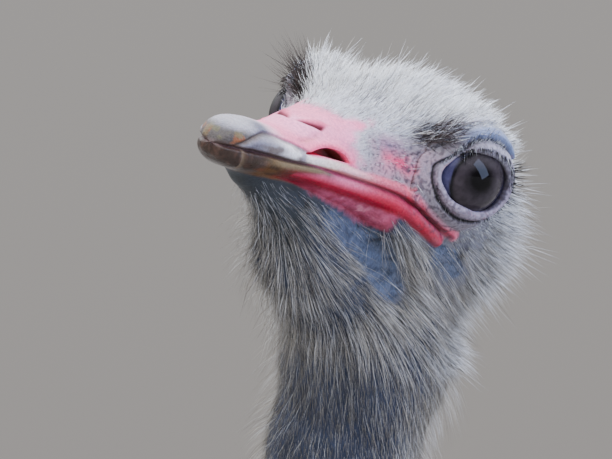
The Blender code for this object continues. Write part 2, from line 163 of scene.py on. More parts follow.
SKULL_TOP = [(-62, -9.5), (-59, -2), (-52, 7), (-40, 16.5), (-24, 23), (-5, 25.5), (12, 25), (28, 21),
             (42, 15.5), (55, 9), (70, 0)]
SKULL_FLOOR = [(-62, -10.5), (-59, -18), (-52, -27), (-40, -34), (70, -34)]
SKULL_WIDTH = [(-62, 0.6), (-59, 12), (-52, 21.5), (-40, 30), (-24, 35.5), (-8, 37), (10, 36), (24, 32.5),
               (40, 26), (55, 21), (70, 16)]
# lips: forward, left and up, and the radius
LOWER_LIP = [(92, 14.0, -17.6, 1.6), (80, 15.6, -17.6, 2.6), (70, 17.8, -17.9, 3.2), (55, 22.4, -19.3, 3.5),
             (39, 27.6, -21.3, 3.5), (26, 32.4, -24.6, 3.3), (15, 36.6, -29.4, 3.0), (8.5, 38.6, -33.0, 2.3)]
UPPER_LIP = [(70, 21.6, -12.6, 0.8), (52, 25.4, -13.7, 1.7), (34, 30.6, -15.7, 2.1), (24, 35.6, -19.0, 2.2),
             (16, 38.8, -23.0, 2.4), (8, 40.6, -26.8, 2.5), (1.5, 41.0, -29.6, 1.9)]
CAP_EDGE = [(88, -9.6), (91, -8.7), (95, -7.7), (103, -6.4), (111, -5.2), (118, -5.2), (124, -7.2),
            (128.5, -10), (131.5, -12.8)]
NOSTRIL_TOP = [(66, -9.6), (68, -7.6), (72, -5.8), (76, -5.2), (80, -5.6), (85, -7.0), (90, -8.8), (92, -9.6)]
NOSTRIL_FLOOR = [(66, -9.8), (72, -9.6), (80, -9.3), (92, -9.8)]
EYE_BALL = 22.6
LID_OPENING = [(-180, 17.8), (-153, 17.6), (-137, 16.0), (-113, 13.2), (-80, 11.0), (-48, 12.7), (-27, 14.3),
               (-8, 16.3), (2, 16.3), (20, 13.7), (48, 11.6), (70, 10.7), (92, 10.2), (117, 10.8),
               (142, 13.0), (163, 15.8), (180, 17.8)]
LID_EDGE = [(-180, 24.2), (-153, 22.5), (-120, 19.4), (-90, 17.9), (-50, 17.6), (-27, 18.2), (-8, 18.9),
            (5, 18.9), (20, 16.6), (35, 15.2), (48, 15.0), (70, 16.6), (90, 17.6), (117, 18.7), (142, 21.8),
            (163, 23.6), (180, 24.2)]

GROOVE_RING = 1.375
# the left eye's own directions, which the right eye mirrors
eye_out = np.array([np.cos(EYE_TURN), np.sin(EYE_TURN), 0.03])
eye_out /= np.linalg.norm(eye_out)
eye_across = np.array([eye_out[1], -eye_out[0], 0]) / np.hypot(eye_out[0], eye_out[1])
eye_up = np.cross(eye_across, eye_out)


def eye_view(m):
    """Across, up and out from an eye's middle, for points mirrored to the left side."""
    q = m - EYE_SPOT
    return q @ eye_across, q @ eye_up, q @ eye_out


def lid_ring(m):
    """Ring number, 1 on the lids' edge and GROOVE_RING in their groove; turn about the eye; height out."""
    u, v, out = eye_view(m)
    turn = np.degrees(np.arctan2(v, u))
    reach, opening, edge = np.hypot(u, v), curve(turn, LID_OPENING), curve(turn, LID_EDGE)
    outer = 1 + (GROOVE_RING - 1) * (reach - opening) / (edge - opening)
    on_lid = np.where(reach < opening, reach / opening, outer)
    return np.where(reach < edge, on_lid, GROOVE_RING * reach / edge), turn, out


def head_shape(p):
    """Distance to the plain head, millimetres in the head frame."""
    x = p[:, 0]
    m = np.stack([x, np.abs(p[:, 1]), p[:, 2]], 1)
    bill = profile(p, curve(x, BILL_WIDTH), curve(x, BILL_TOP), curve(x, BILL_FLOOR), curve(x, MOUTH),
                   2.2 + 0.5 * step(x, 108, 126))
    bill = np.maximum(bill, -(x + 5))
    skull = profile(p, curve(x, SKULL_WIDTH), curve(x, SKULL_TOP), curve(x, SKULL_FLOOR), -10, 2.1)
    skull = -join(-np.maximum(skull, x - 70), x + 60, 10)
    d = join(skull, bill, 9)
    d = join(d, np.linalg.norm(m - EYE_SPOT, axis=1) - EYE_BALL - 2.2, 8)
    d = join(d, limb(m, (30, 20, 8), (8, 40, 14.5), 6, 6), 10)
    d = join(d, limb(m, (8, 40, 14.5), (-20, 37, 8), 6, 7), 9)
    d = join(d, egg(m, (-16, 25, -35), (29, 14, 19)), 14)
    d = join(d, limb(m, (30, 25, -30), (-24, 26, -43), 5, 8), 12)
    d = join(d, egg(m, (-33, 24, -36), (25, 16, 21)), 12)
    d = join(d, egg(p, (44, 0, -54), (18, 20, 18)), 12)
    d = join(d, limb(p, (104, 0, -24), (58, 0, -40), 5, 12), 12)
    d = join(d, limb(p, (58, 0, -40), (14, 0, -64), 12, 25), 16)
    return join(d, limb(p, (-24, 0, -20), (-14, 0, -68), 31, 28), 22)


def tube(m, spots):
    """Distance to a soft round cord through the spots, each with its radius."""
    return np.min([limb(m, a[:3], b[:3], a[3], b[3]) for a, b in zip(spots, spots[1:])], axis=0)


def head_form(p, lids=False):
    """The head with its lips, grooves and creases. The eyes' surroundings sink, for the lids to lie in."""
    x, side, z = p[:, 0], np.abs(p[:, 1]), p[:, 2]
    m = np.stack([x, side, z], 1)
    d = head_shape(p)
    flank = step(side, 6, 11)
    rise = z - curve(x, MOUTH)
    # the bill's parting, with the horn bulging above and below it
    strip = between(x, 52, 76, 126, 136) * flank
    d = d - 0.7 * strip * bump(rise, 3.6, 2.6)
    d = d - 0.5 * between(x, 70, 90, 128, 138) * flank * bump(rise, -3.4, 2.4)
    d = d + 1.9 * bump(rise, 0, 0.7) * between(x, 60, 75, 139, 143)
    # the lips: two soft cords that meet in a dark cleft and end at the gape
    d = d + 1.6 * bump(rise, -0.2, 1.6) * between(x, 2, 10, 60, 78) * step(side, 14, 20)
    d = join(d, tube(m, LOWER_LIP), 0.9)
    d = join(d, tube(m, UPPER_LIP), 0.8)
    # the mandible's lower edge, and its corner under the lip
    edge = bump(z - curve(x, BILL_FLOOR), 0.2, 1.2) * between(x, 32, 38, 112, 124)
    d = d + 1.2 * edge * step(side, 8, 13)
    # the nostril's soft raised rim
    roof = curve(x, NOSTRIL_TOP)
    d = d - 1.0 * bump(z - roof, 1.3, 1.5) * between(x, 62, 68, 88, 94) * flank
    # the groove between horn and soft cap, turning down in front of the side strip, and the mandible's own
    d = d + 1.2 * bump(z, curve(x, CAP_EDGE), 0.8) * between(x, 84, 90, 130.5, 132) * step(side, 3, 7)
    d = d - 0.6 * bump(z - curve(x, CAP_EDGE), -2.4, 1.6) * between(x, 100, 108, 127, 131) * step(side, 5, 9)
    nail = 127.5 - 0.16 * np.clip(-13 - z, 0, 9) ** 1.5
    d = d + 0.8 * bump(x, nail, 0.7) * step(-z, 13, 14.5) * step(side, 1, 5)
    # the cap: a mound, and a curved slit behind it
    d = d - 1.1 * spot((x - 87) / 8, side / 9) * step(z, -6, -2)
    slit = x - 84 + 0.65 * side
    soft = (1 - step(side, 10, 14)) * step(z, -6, -2)
    d = d + 1.9 * bump(slit, 0, 0.7) * step(side, 0, 6) * (1 - step(side, 10.5, 12)) * step(z, -5, -3)
    d = d - 0.8 * bump(slit, -2.8, 2.2) * soft - 1.3 * bump(slit, 4.0, 3.2) * soft
    d = d + 0.7 * bump(side, 12.9, 0.9) * between(x, 78, 82, 90, 95) * step(z, -7, -5)
    # the ear, a small hole behind the eye
    d = d + 3.0 * spot((x + 37) / 3.6, (z + 19) / 4.6) * step(side, 15, 22)
    d = d - 0.9 * bump(np.hypot((x + 37) / 1.0, (z + 19) / 1.2), 6.5, 1.8) * step(side, 15, 22)
    # rings of creases round the eye
    ring, turn, out = lid_ring(m)
    near = step(out, -14, -4)
    crease = 0.6 * noise(p / 3.1, 11) + 0.4 * noise(p / 1.7, 12)
    over = between(turn, -20, 60, 185, 190) + between(turn, -190, -185, -172, -150)
    d = d - near * ((1.0 + 0.7 * over) * bump(ring, 1.19, 0.12) - 1.5 * bump(ring, GROOVE_RING, 0.045)
                    + (0.1 + 1.2 * over) * bump(ring, 1.58, 0.14)
                    - (0.2 + 0.6 * over) * bump(ring, 1.86 + 0.05 * crease, 0.05)
                    + 0.5 * bump(ring, 2.02, 0.09) - 0.4 * bump(ring, 2.2 + 0.05 * crease, 0.05))
    d = d - near * 0.35 * crease * step(ring, 1.0, 1.1) * (1 - step(ring, 1.8, 3))
    if lids:
        d = d + near * 0.6 * step(ring, 2.08, 2.2)
        d = d - near * 0.28 * noise(p / 0.95, 13) * between(ring, 1.03, 1.08, 1.30, 1.36)
    else:
        d = d + near * (0.35 * (1 - step(ring, 2.06, 2.12)) + 6 * (1 - step(ring, 1.35, 1.8)))
    # loose skin: creases that run back over the cheek and down the throat, and a wart behind the gape
    loose = step(-z, 24, 42) * (1 - step(x, 60, 90))
    d = d - loose * (0.6 * noise(np.stack([x / 9, p[:, 1] / 4, z / 14], 1), 3)
                     + 0.45 * noise(np.stack([x / 4, p[:, 1] / 2.4, z / 7], 1), 4))
    return join(d, np.linalg.norm(m - (-9, 42.5, -35), axis=1) - 1.6, 1.5)


NECK_LINE = [(0.0016, -0.5305, 2.2476), (-0.0135, -0.5255, 2.206), (-0.028, -0.520, 2.12),
             (-0.034, -0.519, 2.02), (-0.031, -0.527, 1.90), (-0.021, -0.539, 1.77), (-0.010, -0.544, 1.64)]
NECK_REACH = [0.0360, 0.0325, 0.0325, 0.0345, 0.038, 0.044, 0.052]
BREAST_LINE = [(0.0, -0.530, 1.51), (0.0, -0.485, 1.385), (0.0, -0.41, 1.28), (0.0, -0.31, 1.20)]
BREAST_REACH = [0.064, 0.085, 0.125, 0.172]
THROAT_PIVOT = np.array([75.0, -95.0])
BACK_PIVOT = np.array([-0.245, 1.64])
DOWN_DEPTH = 0.0032
PLUME_DEPTH = 0.050


def body_form(p):
    """Distance to the skin of neck and trunk, in metres from the bird's own origin."""
    line = NECK_LINE + BREAST_LINE
    reach = NECK_REACH + BREAST_REACH
    d = limb(p, to_world([(-14, 0, -68)])[0] - bird, line[0], 0.0325, reach[0])
    for a, b, ra, rb in zip(line, line[1:], reach, reach[1:]):
        d = np.minimum(d, join(d, limb(p, a, b, ra, rb), 0.012))
    trunk = egg(p, (0, 0.075, 1.145), (0.235, 0.440, 0.270))
    trunk = join(trunk, egg(p, (0, -0.20, 1.12), (0.185, 0.235, 0.215)), 0.10)
    trunk = join(trunk, egg(p, (0, 0.34, 1.18), (0.165, 0.235, 0.190)), 0.10)
    d = join(d, trunk, 0.09)
    return d + DOWN_DEPTH + (PLUME_DEPTH - DOWN_DEPTH) * (1 - step(p[:, 2] + 0.55 * p[:, 1], 0.98, 1.18))


def form(p):
    """Distance to the whole skin apart from the legs, in metres."""
    d = body_form(p - bird)
    near_head = p[:, 2] > 2.05
    if near_head.any():
        q = to_head(p[near_head])
        d[near_head] = join(head_form(q) * MM, d[near_head], 0.016)
    return d


def middle(s):
    """Centre, dorsal and left directions: s is 0-1 bill, 1-2 head, 2-3 neck, 3-4 breast, 4-5 trunk."""
    t = s - min(int(s), 4)
    if s < 1:
        x = 140.0 - 65 * t
        return to_world((x, 0, curve(x, MOUTH))), up, left
    if s < 2:
        turn = np.radians(90 * t)
        x, z = -np.sin(turn), np.cos(turn)
        reach = curve(90 * t, [(0, 81), (20, 94), (38, 100), (60, 96), (90, 103)])
        at = THROAT_PIVOT + reach * np.array([x, z])
        return to_world((at[0], 0, at[1])), x * forward + z * up, left
    if s < 3:
        knots = np.linspace(0, 1, len(NECK_LINE))
        at, ahead, behind = (np.array([curve(t + shift, list(zip(knots, c))) for c in np.array(NECK_LINE).T])
                             for shift in (0, 0.02, -0.02))
        run = (ahead - behind) / np.linalg.norm(ahead - behind)
        run = run * step(t, 0, 0.12) - up * (1 - step(t, 0, 0.12))
        run = run * (1 - step(t, 0.85, 1)) + np.array([0, 0, -1.0]) * step(t, 0.85, 1)
        run /= np.linalg.norm(run)
        turn = step(t, 0, 0.6)
        dorsal = -forward * (1 - turn) + np.array([0, 1.0, 0]) * turn
        dorsal -= run * (dorsal @ run)
        dorsal /= np.linalg.norm(dorsal)
        return at + bird, dorsal, np.cross(run, dorsal)
    if s < 4:
        turn = np.radians(90 * t)
        y, z = -np.cos(turn), -np.sin(turn)
        reach = curve(90 * t, [(0, 0.299), (30, 0.330), (60, 0.405), (90, 0.490)])
        at = BACK_PIVOT + reach * np.array([y, z])
        return np.array([0, at[0], at[1]]) + bird, np.array([0, -y, -z]), level
    y = BACK_PIVOT[0] + (0.518 - BACK_PIVOT[0]) * t
    z = curve(y, [(-0.25, 1.15), (0.1, 1.15), (0.55, 1.19)])
    return np.array([0, y, z]) + bird, np.array([0, 0, 1.0]), level


def surface(shape, centre, directions):
    """Where rays from the centres leave a shape."""
    t = np.maximum(MM, -0.7 * shape(centre))
    last = np.zeros(len(t))
    live = np.arange(len(t))
    for _ in range(90):
        d = shape(centre[live] + directions[live] * t[live, None])
        live, inside = live[d < 0], d[d < 0]
        if not len(live):
            break
        last[live] = t[live]
        t[live] += np.maximum(-0.7 * inside, 0.0003)
    for _ in range(10):
        half = (last + t) / 2
        inside = shape(centre + directions * half[:, None]) < 0
        last = np.where(inside, half, last)
        t = np.where(inside, t, half)
    return centre + directions * t[:, None]


def rings_along(places, angles):
    """Rings of surface points along the middle line; angle 0 is dorsal, a quarter turn the left side."""
    centres, rays = [], []
    for s in places:
        at, dorsal, side = middle(s)
        centres.append(np.repeat(at[None], len(angles), 0))
        rays.append(np.cos(angles)[:, None] * dorsal + np.sin(angles)[:, None] * side)
    found = surface(form, np.concatenate(centres), np.concatenate(rays))
    return found.reshape(len(places), len(angles), 3)


def around(count):
    """Angles round a ring, closer together on the two sides."""
    t = 2 * np.pi * np.arange(count) / count
    return t + 0.18 * np.sin(2 * t)


SIDES = 264
bill_places = np.concatenate([[0.0, 0.003, 0.008, 0.014], np.linspace(0.022, 0.99, 138)])
head_places = 1 + np.concatenate([np.linspace(0, 52, 112, endpoint=False), np.linspace(52, 86, 32)]) / 90
upper_places = np.linspace(2.012, 2.40, 50)
lower_places = np.concatenate([np.linspace(2.41, 3, 36, endpoint=False),
                               np.linspace(3, 4, 34, endpoint=False), np.linspace(4, 4.94, 34),
                               [4.96, 4.975, 4.985, 4.993]])
head_rings = rings_along(np.concatenate([bill_places, head_places]), around(SIDES))
upper_rings = rings_along(upper_places, around(SIDES // 2))
lower_rings = rings_along(lower_places, around(SIDES // 4))


def ring_faces(index):
    """Quads between like rings of vertex numbers."""
    a, b = index[:-1], index[1:]
    return np.stack([a, np.roll(a, -1, 1), np.roll(b, -1, 1), b], -1).reshape(-1, 4)


def halving_faces(a, b):
    """Triangles between a ring and the next, which has half as many points."""
    a0, a1, a2 = a[::2], a[1::2], np.roll(a[::2], -1)
    b1 = np.roll(b, -1)
    return np.concatenate([np.stack(f, 1) for f in ((a0, a1, b), (a1, b1, b), (a1, a2, b1))])


def numbered(rings, start):
    """Vertex numbers of a grid of rings."""
    return start + np.arange(rings.shape[0] * rings.shape[1]).reshape(rings.shape[:2])


heads = numbered(head_rings, 0)
uppers = numbered(upper_rings, heads[-1, -1] + 1)
lowers = numbered(lower_rings, uppers[-1, -1] + 1)


def closed(rings):
    """Faces over rings of points, with both ends closed."""
    index = numbered(rings, 0)
    faces = [tuple(f) for f in ring_faces(index).tolist()]
    return faces + [tuple(index[0][::-1].tolist()), tuple(index[-1].tolist())]


def rough_shape(name, points, faces):
    """A mesh from points and faces, put in the scene."""
    mesh = bpy.data.meshes.new(name)
    mesh.from_pydata(np.asarray(points).tolist(), [], faces)
    thing = bpy.data.objects.new(name, mesh)
    bpy.context.scene.collection.objects.link(thing)
    return thing


def solid(name, points, faces):
    """A smooth piece that rides on the bird."""
    piece = rough_shape(name, points, faces)
    piece.data.shade_smooth()
    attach(piece, "root")
    return piece


def take(thing):
    """Makes one thing active, and the only one selected."""
    bpy.ops.object.select_all(action="DESELECT")
    thing.select_set(True)
    bpy.context.view_layer.objects.active = thing


def make_outward(thing):
    """Turns every face outwards."""
    take(thing)
    bpy.ops.object.mode_set(mode="EDIT")
    bpy.ops.mesh.select_all(action="SELECT")
    bpy.ops.mesh.normals_make_consistent(inside=False)
    bpy.ops.object.mode_set(mode="OBJECT")


def combine(piece, other, way):
    """Cuts a closed shape out of a piece, or fuses it on, and uses the shape up."""
    make_outward(other)
    joint = piece.modifiers.new(other.name, "BOOLEAN")
    joint.operation = way
    joint.solver = "EXACT"
    joint.object = other
    take(piece)
    bpy.ops.object.modifier_apply(modifier=joint.name)
    bpy.data.objects.remove(other)


skin_points = np.concatenate([r.reshape(-1, 3) for r in (head_rings, upper_rings, lower_rings)])
skin_parts = (ring_faces(heads), halving_faces(heads[-1], uppers[0]), ring_faces(uppers),
              halving_faces(uppers[-1], lowers[0]), ring_faces(lowers))
skin_faces = [tuple(f) for part in skin_parts for f in part.tolist()]
skin_faces += [tuple(heads[0][::-1].tolist()), tuple(lowers[-1].tolist())]
skin = solid("skin", skin_points, skin_faces)
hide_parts("head", "bill_upper", "bill_lower", "neck_upper", "neck_middle", "neck_lower", "trunk")

# the nostrils are shallow slots, cut into the soft part of the bill and narrowing inwards
SLOT_POINTS = 30
SLOT_DEPTH = 7.5
for side in (1, -1):
    along_slit = np.linspace(66.3, 91.5, SLOT_POINTS)
    cutter = []
    for depth in np.linspace(-SLOT_DEPTH, 6, 12):
        inward = max(0.0, -depth) / SLOT_DEPTH
        top = curve(along_slit, NOSTRIL_TOP) - 1.2 * inward
        low = curve(along_slit, NOSTRIL_FLOOR) + 0.3 * inward
        centre = (top + low) / 2
        half = np.maximum((top - low) / 2, 0.08)
        out = curve(along_slit, [(66, 21.5), (76, 19.2), (92, 16.2)]) + depth
        x = along_slit + 2.0 * inward * np.cos(np.linspace(0, np.pi, SLOT_POINTS))
        upper = np.stack([x, side * out, centre + half], 1)
        under = np.stack([x, side * out, centre - half], 1)
        cutter.append(np.concatenate([upper, under[::-1]]))
    cutter = np.array(cutter)
    combine(skin, rough_shape("nostril", to_world(cutter.reshape(-1, 3)), closed(cutter)), "DIFFERENCE")


# ---- the markings ----
# The bare skin is slate, rosy on the soft part of the bill and crimson on the mandible and lips, and the tip
# is horn. The colours are laid one over the other at points of the skin, with a gloss, and the bristles start
# from them.
def paint(*rgb):
    """A colour named by its screen values, 0 to 255."""
    c = np.array(rgb) / 255
    return np.where(c <= 0.04045, c / 12.92, ((c + 0.055) / 1.055) ** 2.4)


def mix(under, over, share):
    """One colour over another, by a share from 0 to 1 at each point."""
    share = np.clip(np.asarray(share), 0, 1)[:, None]
    return under * (1 - share) + over * share


SLATE = paint(60, 68, 88)
DEEP_SLATE = paint(32, 37, 50)
BLUE_SKIN = paint(90, 101, 124)
ROSE = paint(228, 118, 154)
PALE_ROSE_AND_HIGHLIGHT = paint(240, 154, 192)
LIP = paint(176, 8, 48)
# pale pink for the painted highlight on the lower lip
LIP_HIGHLIGHT = paint(242, 124, 166)
CRIMSON = paint(128, 22, 42)
MAUVE = paint(178, 84, 114)
HORN_GREY = paint(90, 89, 108)
HORN_WHITE = paint(234, 230, 232)
CREAM = paint(240, 206, 192)
OCHRE = paint(92, 62, 32)
RUST = paint(96, 52, 26)
UMBER = paint(52, 39, 33)
OLIVE = paint(122, 106, 80)
LILAC = paint(172, 168, 186)
GRANULE = paint(146, 136, 154)
ORBIT = paint(112, 126, 160)
GROOVE_SHADE = paint(26, 26, 32)


# the outlines of the bare patches, forward and up
UNDER_JAW = [(66, -34), (60, -31), (24, -38.5), (16, -43), (9, -57), (11, -66)]
BEHIND_GAPE = [(13, -34), (-8, -36), (-16, -44), (-10, -50), (5, -45)]


def within(x, z, outline):
    """How far points lie inside an outline without hollows, negative outside."""
    depth = np.full(len(x), 1e3)
    for (ax, az), (bx, bz) in zip(outline, outline[1:] + outline[:1]):
        depth = np.minimum(depth, ((bx - ax) * (z - az) - (bz - az) * (x - ax)) / np.hypot(bx - ax, bz - az))
    return depth


def bare_patches(x, side, z):
    """The blue skin left bare under the jaw, and the patch behind the gape."""
    ragged = 1.3 * noise(np.stack([x, side, z], 1) / 3.5, 25)
    blue = step(within(x, z, UNDER_JAW) + ragged, -1.0, 1.2) * step(side, 9, 14)
    behind = step(within(x, z, BEHIND_GAPE) + ragged, -0.8, 1.2) * step(side, 20, 28)
    return blue, behind


def neck_front(world_points):
    """1 down the front of the neck, 0 at its sides and back."""
    line = [(z, y) for x, y, z in NECK_LINE[::-1]]
    ahead = curve(world_points[:, 2] - bird[2], line) + bird[1] - world_points[:, 1]
    return step(ahead / 0.036, -0.45, 0.5)


def face_front(side, z, start, crown):
    """Where the rosy front of the face starts, and how much further forward it starts on the crown."""
    return (start + crown * (1 - step(side, 9, 13)) - 9 * bump(side, 17, 4) * step(z, 2, 6)
            + 5 * bump(side, 18, 5) * bump(z, -3, 4))


def over_eye(turn):
    """1 in the stretch above the lids."""
    return between(turn, 20, 70, 181, 182) + between(turn, -182, -181, -165, -130)


def skin_colours(world_points):
    """Colour and gloss of the skin at points in the world."""
    p = to_head(world_points)
    x, side, z = p[:, 0], np.abs(p[:, 1]), p[:, 2]
    m = np.stack([x, side, z], 1)
    rise = z - curve(x, MOUTH)
    soft = noise(p / 9, 21)
    fine = noise(p / 2.2, 22)
    speck = noise(p / 1.0, 23)
    flank = step(side, 6, 11)
    c = mix(SLATE, DEEP_SLATE, 0.45 + 0.35 * fine)

    def lay(colour, share):
        nonlocal c
        c = mix(c, colour, share)

    chin = step(x, 58, 74) * step(-z, 18, 26)
    lay(paint(44, 48, 49), chin * 0.8)
    lay(paint(114, 114, 120), (1 - step(x, 16, 30)) * step(-z, 2, 20) * (1 - step(-z, 54, 74))
        * step(side, 12, 20) * 0.8)
    blue, behind = bare_patches(x, side, z)
    lay(BLUE_SKIN, np.maximum(blue, behind) * (0.8 + 0.4 * fine))
    lay(DEEP_SLATE, np.maximum(blue, behind) * step(noise(p / [4, 4, 1.6], 24), -0.1, 0.6) * 0.6)
    lay(paint(196, 196, 204), step(z, -22, -8) * (1 - step(x, 60, 72)) * 0.8)
    gloss = np.full(len(p), 0.55)
    # the rosy front of the face, fading in speckles towards the eye
    front = face_front(side, z, 60, 3)
    rosy = step(x + 2.5 * soft + 2.0 * fine, front - 4, front + 5) * step(rise, -1, 1)
    lore = between(x, 22, 32, 52, 62) * step(rise, 0, 1.5) * (1 - step(z, 1, 7)) * step(side, 14, 20)
    lay(mix(paint(142, 134, 144), ROSE, 0.12 + 0.5 * soft), lore * 0.8)
    warm = spot((x - 39) / 10, (z + 4.5 - 0.3 * (x - 39)) / 4.4) * step(side, 16, 22)
    lay(paint(220, 74, 114), np.clip(warm * (0.95 + 0.6 * fine), 0, 1))
    lay(paint(104, 106, 128), bump(np.hypot((x - 45) / 2.2, z - 0.8), 0, 3.4) * step(side, 14, 20) * 0.75)
    dots = step(noise(p / 0.75, 26) + 0.4 * speck, 0.2, 0.6) * lore
    lay(paint(62, 54, 64), dots * 0.7)
    # the cap is paler towards its top: partly its own pale pink, partly a painted highlight
    pale = step(z, -6, 1) * (0.3 + 0.4 * step(x, 72, 86)) + 0.4 * soft
    lay(mix(ROSE, PALE_ROSE_AND_HIGHLIGHT, pale), rosy)
    slit = x - 84 + 0.65 * side
    top = step(side, 0, 5) * (1 - step(side, 11, 12.5)) * step(z, -5, -3)
    # pale pink on the mound in front of the slit: partly its own colour, partly a painted highlight
    lay(PALE_ROSE_AND_HIGHLIGHT, bump(slit, 7, 7) * (1 - step(side, 10, 14)) * step(z, -7, -3) * 0.6)
    # painted shade: deeper pink round the cap's slit and dark red down in it
    lay(paint(214, 84, 124), bump(slit, -1.4, 2.4) * top * 0.8)
    lay(paint(84, 8, 30), np.clip(1.5 * bump(slit, -0.2, 1.1), 0, 1) * top)
    lay(paint(190, 110, 122), bump(side, 12.9, 1.0) * between(x, 78, 82, 90, 95) * step(z, -7, -5)
        * (0.6 + 0.5 * speck))
    # horn: the nail, the side strip that runs on under the nostril, and the blotches
    cap = curve(x, CAP_EDGE)
    horn = step(rise, 0, 0.6) * step(cap - z, -0.8, 0.4) * step(x, 86, 90)
    horn = np.maximum(horn, step(x + 1.5 * soft, 99, 117))
    horn = horn * step(rise, -0.4, 0.4)
    tone = mix(HORN_WHITE, HORN_GREY, step(x, 96, 118) * 0.85 + 0.25 * soft)
    lay(tone, horn)
    strip_top = curve(x, [(50, -13.5), (60, -11.6), (68, -10.2), (92, -9.9)])
    under_nostril = (step(rise, 0.2, 1.2) * (1 - step(z - strip_top, -0.8, 0.6)) * between(x, 46, 58, 90, 96)
                     * flank)
    lay(mix(CREAM, HORN_WHITE, step(x, 66, 84) * 0.7), under_nostril)
    lay(paint(206, 122, 92), under_nostril * bump(x, 70, 7) * step(1.8 - rise, 0, 1.0) * 0.7)
    nail = step(z - cap, -0.6, 0.8) * step(x, 112, 122)
    nail = np.maximum(nail, step(x, 130, 132))
    stain = step(noise(p / 4.3, 31) + 0.3 * fine, 0.0, 0.45)
    nail = np.maximum(nail, step(x, 128.5, 130.5) * step(rise, 0.2, 0.8))
    front_face = nail * horn * (1 - step(z + 0.9 * soft, -7.4, -4.6))
    lay(paint(62, 55, 50), front_face * 0.92)
    lay(paint(116, 70, 44), front_face * step(stain + 0.5 * fine, 0.3, 0.8) * (1 - step(z, -7.6, -6.0)) * 0.9)
    lay(paint(92, 88, 62), front_face * step(noise(p / 2.6, 33), 0.15, 0.5) * 0.7)
    # painted shade: the nail darkens along the bill's parting
    lay(paint(66, 58, 54), nail * horn * (1 - step(rise, 0.4, 2.2)) * 0.8)
    lay(paint(150, 144, 156), nail * horn * step(noise(p / [3.5, 3.5, 2], 36), 0.0, 0.6) * step(z, -7, -5)
        * 0.5)
    dirt = step(noise(p / [6, 3, 2.4], 34) + 0.4 * fine, -0.1, 0.6)
    lay(paint(96, 84, 80), horn * (1 - nail) * dirt * (1 - step(rise, 3.0, 8.0)) * 0.85)
    lay(paint(132, 126, 142), step(rise, 0.2, 1.2) * bump(x + 1.4 * fine, 93, 2.6) * step(cap - z, -0.8, 0.4)
        * flank * 0.85)
    # painted shade: the horn strip darkens along its lower edge, where it turns into the parting
    lay(paint(74, 60, 58), horn * (1 - step(rise, 0.6, 2.6)) * step(x, 76, 100) * (0.7 + 0.4 * soft))
    # the mandible: umber tip, ochre and olive sides, then crimson
    below = 1 - step(rise, -0.6, 0.2)
    bill = step(x, 50, 56) * step(z - curve(x, BILL_FLOOR), -1.2, 0)
    tip = mix(UMBER, paint(74, 54, 46), step(noise(p / [1.4, 1.4, 6], 35), -0.1, 0.6) * 0.8)
    lay(tip, below * bill * step(x, 110, 122))
    lay(OCHRE, below * bill * between(x, 80, 98, 110, 122) * (0.85 + 0.3 * soft))
    streak = step(noise(p / [5, 5, 1.6], 37) + 0.3 * fine, 0.1, 0.6)
    lay(paint(52, 40, 30), below * bill * between(x, 84, 92, 118, 126) * streak * 0.7)
    lay(RUST, below * bill * between(x, 88, 100, 112, 124) * step(-rise, 3, 6) * step(stain, 0, 0.9))
    lay(OLIVE, below * between(x, 66, 82, 102, 118) * (1 - step(-rise, 1.8, 4.2)) * 0.9)
    red = (below * between(x, 30.5, 36, 84, 106) * step(-rise, 1.5, 4)
           * step(z - curve(x, BILL_FLOOR), -0.6, 0.6))
    lay(CRIMSON, red)
    lay(MAUVE, red * (1 - step(x, 66, 84)) * step(-rise, 7, 9.5) * (0.75 + 0.4 * fine))
    lay(paint(216, 140, 158), red * step(fine + 0.4 * soft, 0.3, 0.9) * between(x, 34, 44, 62, 70)
        * step(-rise, 8, 10) * 0.6)
    gloss = gloss - 0.25 * red - 0.2 * bill * below - 0.18 * horn
    # lips, with a painted highlight along the top of the lower lip
    lower = 1 - step(tube(m, LOWER_LIP), -0.6, 1.5)
    upper_lip = 1 - step(tube(m, UPPER_LIP), -0.6, 1.3)
    pale_end = step(x, 44, 66)
    # painted highlight: the top of the lower lip is laid pale pink, more so towards its pale rear end
    lip_highlight_band = step(rise, -6.4, -1.8)
    lay(mix(LIP, LIP_HIGHLIGHT, lip_highlight_band * (0.18 + 0.62 * pale_end)), lower)
    # painted shade: the underside of the lower lip is darkened to crimson
    lay(CRIMSON, lower * step(-rise, 5.0, 9.0) * 0.7)
    lay(mix(paint(222, 84, 112), paint(224, 158, 178), pale_end), upper_lip)
    lay(paint(236, 120, 148), upper_lip * (1 - step(x, 1, 5)) * 0.8)
    gloss = gloss - 0.22 * np.maximum(lower, upper_lip)
    # painted shade: dark red in the cleft where the lips meet, and dark brown in the bill's parting towards
    # the tip
    lay(paint(120, 34, 52), bump(rise, 0, 0.9) * between(x, 0, 4, 66, 84) * step(side, 10, 15) * 0.9)
    lay(paint(70, 50, 48), bump(rise, 0, 0.8) * step(x, 78, 92) * 0.85)
    # nostril
    red_rim = bump(z - curve(x, NOSTRIL_TOP), 0.4, 1.3) * between(x, 62, 66, 88, 92) * flank
    lay(paint(252, 98, 140), red_rim * 0.9)
    depth = -head_shape(p)
    pit = (between(x, 65, 66, 92, 93) * step(side, 5, 8) * between(z, -11, -10, -4.6, -3.8)
           * step(depth, 0.7, 2.2))
    lay(mix(paint(200, 22, 60), paint(110, 50, 48), 1 - step(x, 76, 80)), pit)
    # the horn's grooves are darkened with painted shade, most towards the tip
    groove = bump(z, cap, 0.8) * between(x, 86, 92, 130, 132) * step(side, 3, 7) * step(rise, 0.4, 1.2)
    lay(paint(84, 70, 62), groove * (0.5 + 0.4 * step(x, 108, 124)))
    fold = bump(x - 127.5 + 0.16 * np.clip(-13 - z, 0, 9) ** 1.5, 0, 0.8) * below * bill * step(side, 1, 5)
    lay(paint(124, 106, 88), fold * 0.7)
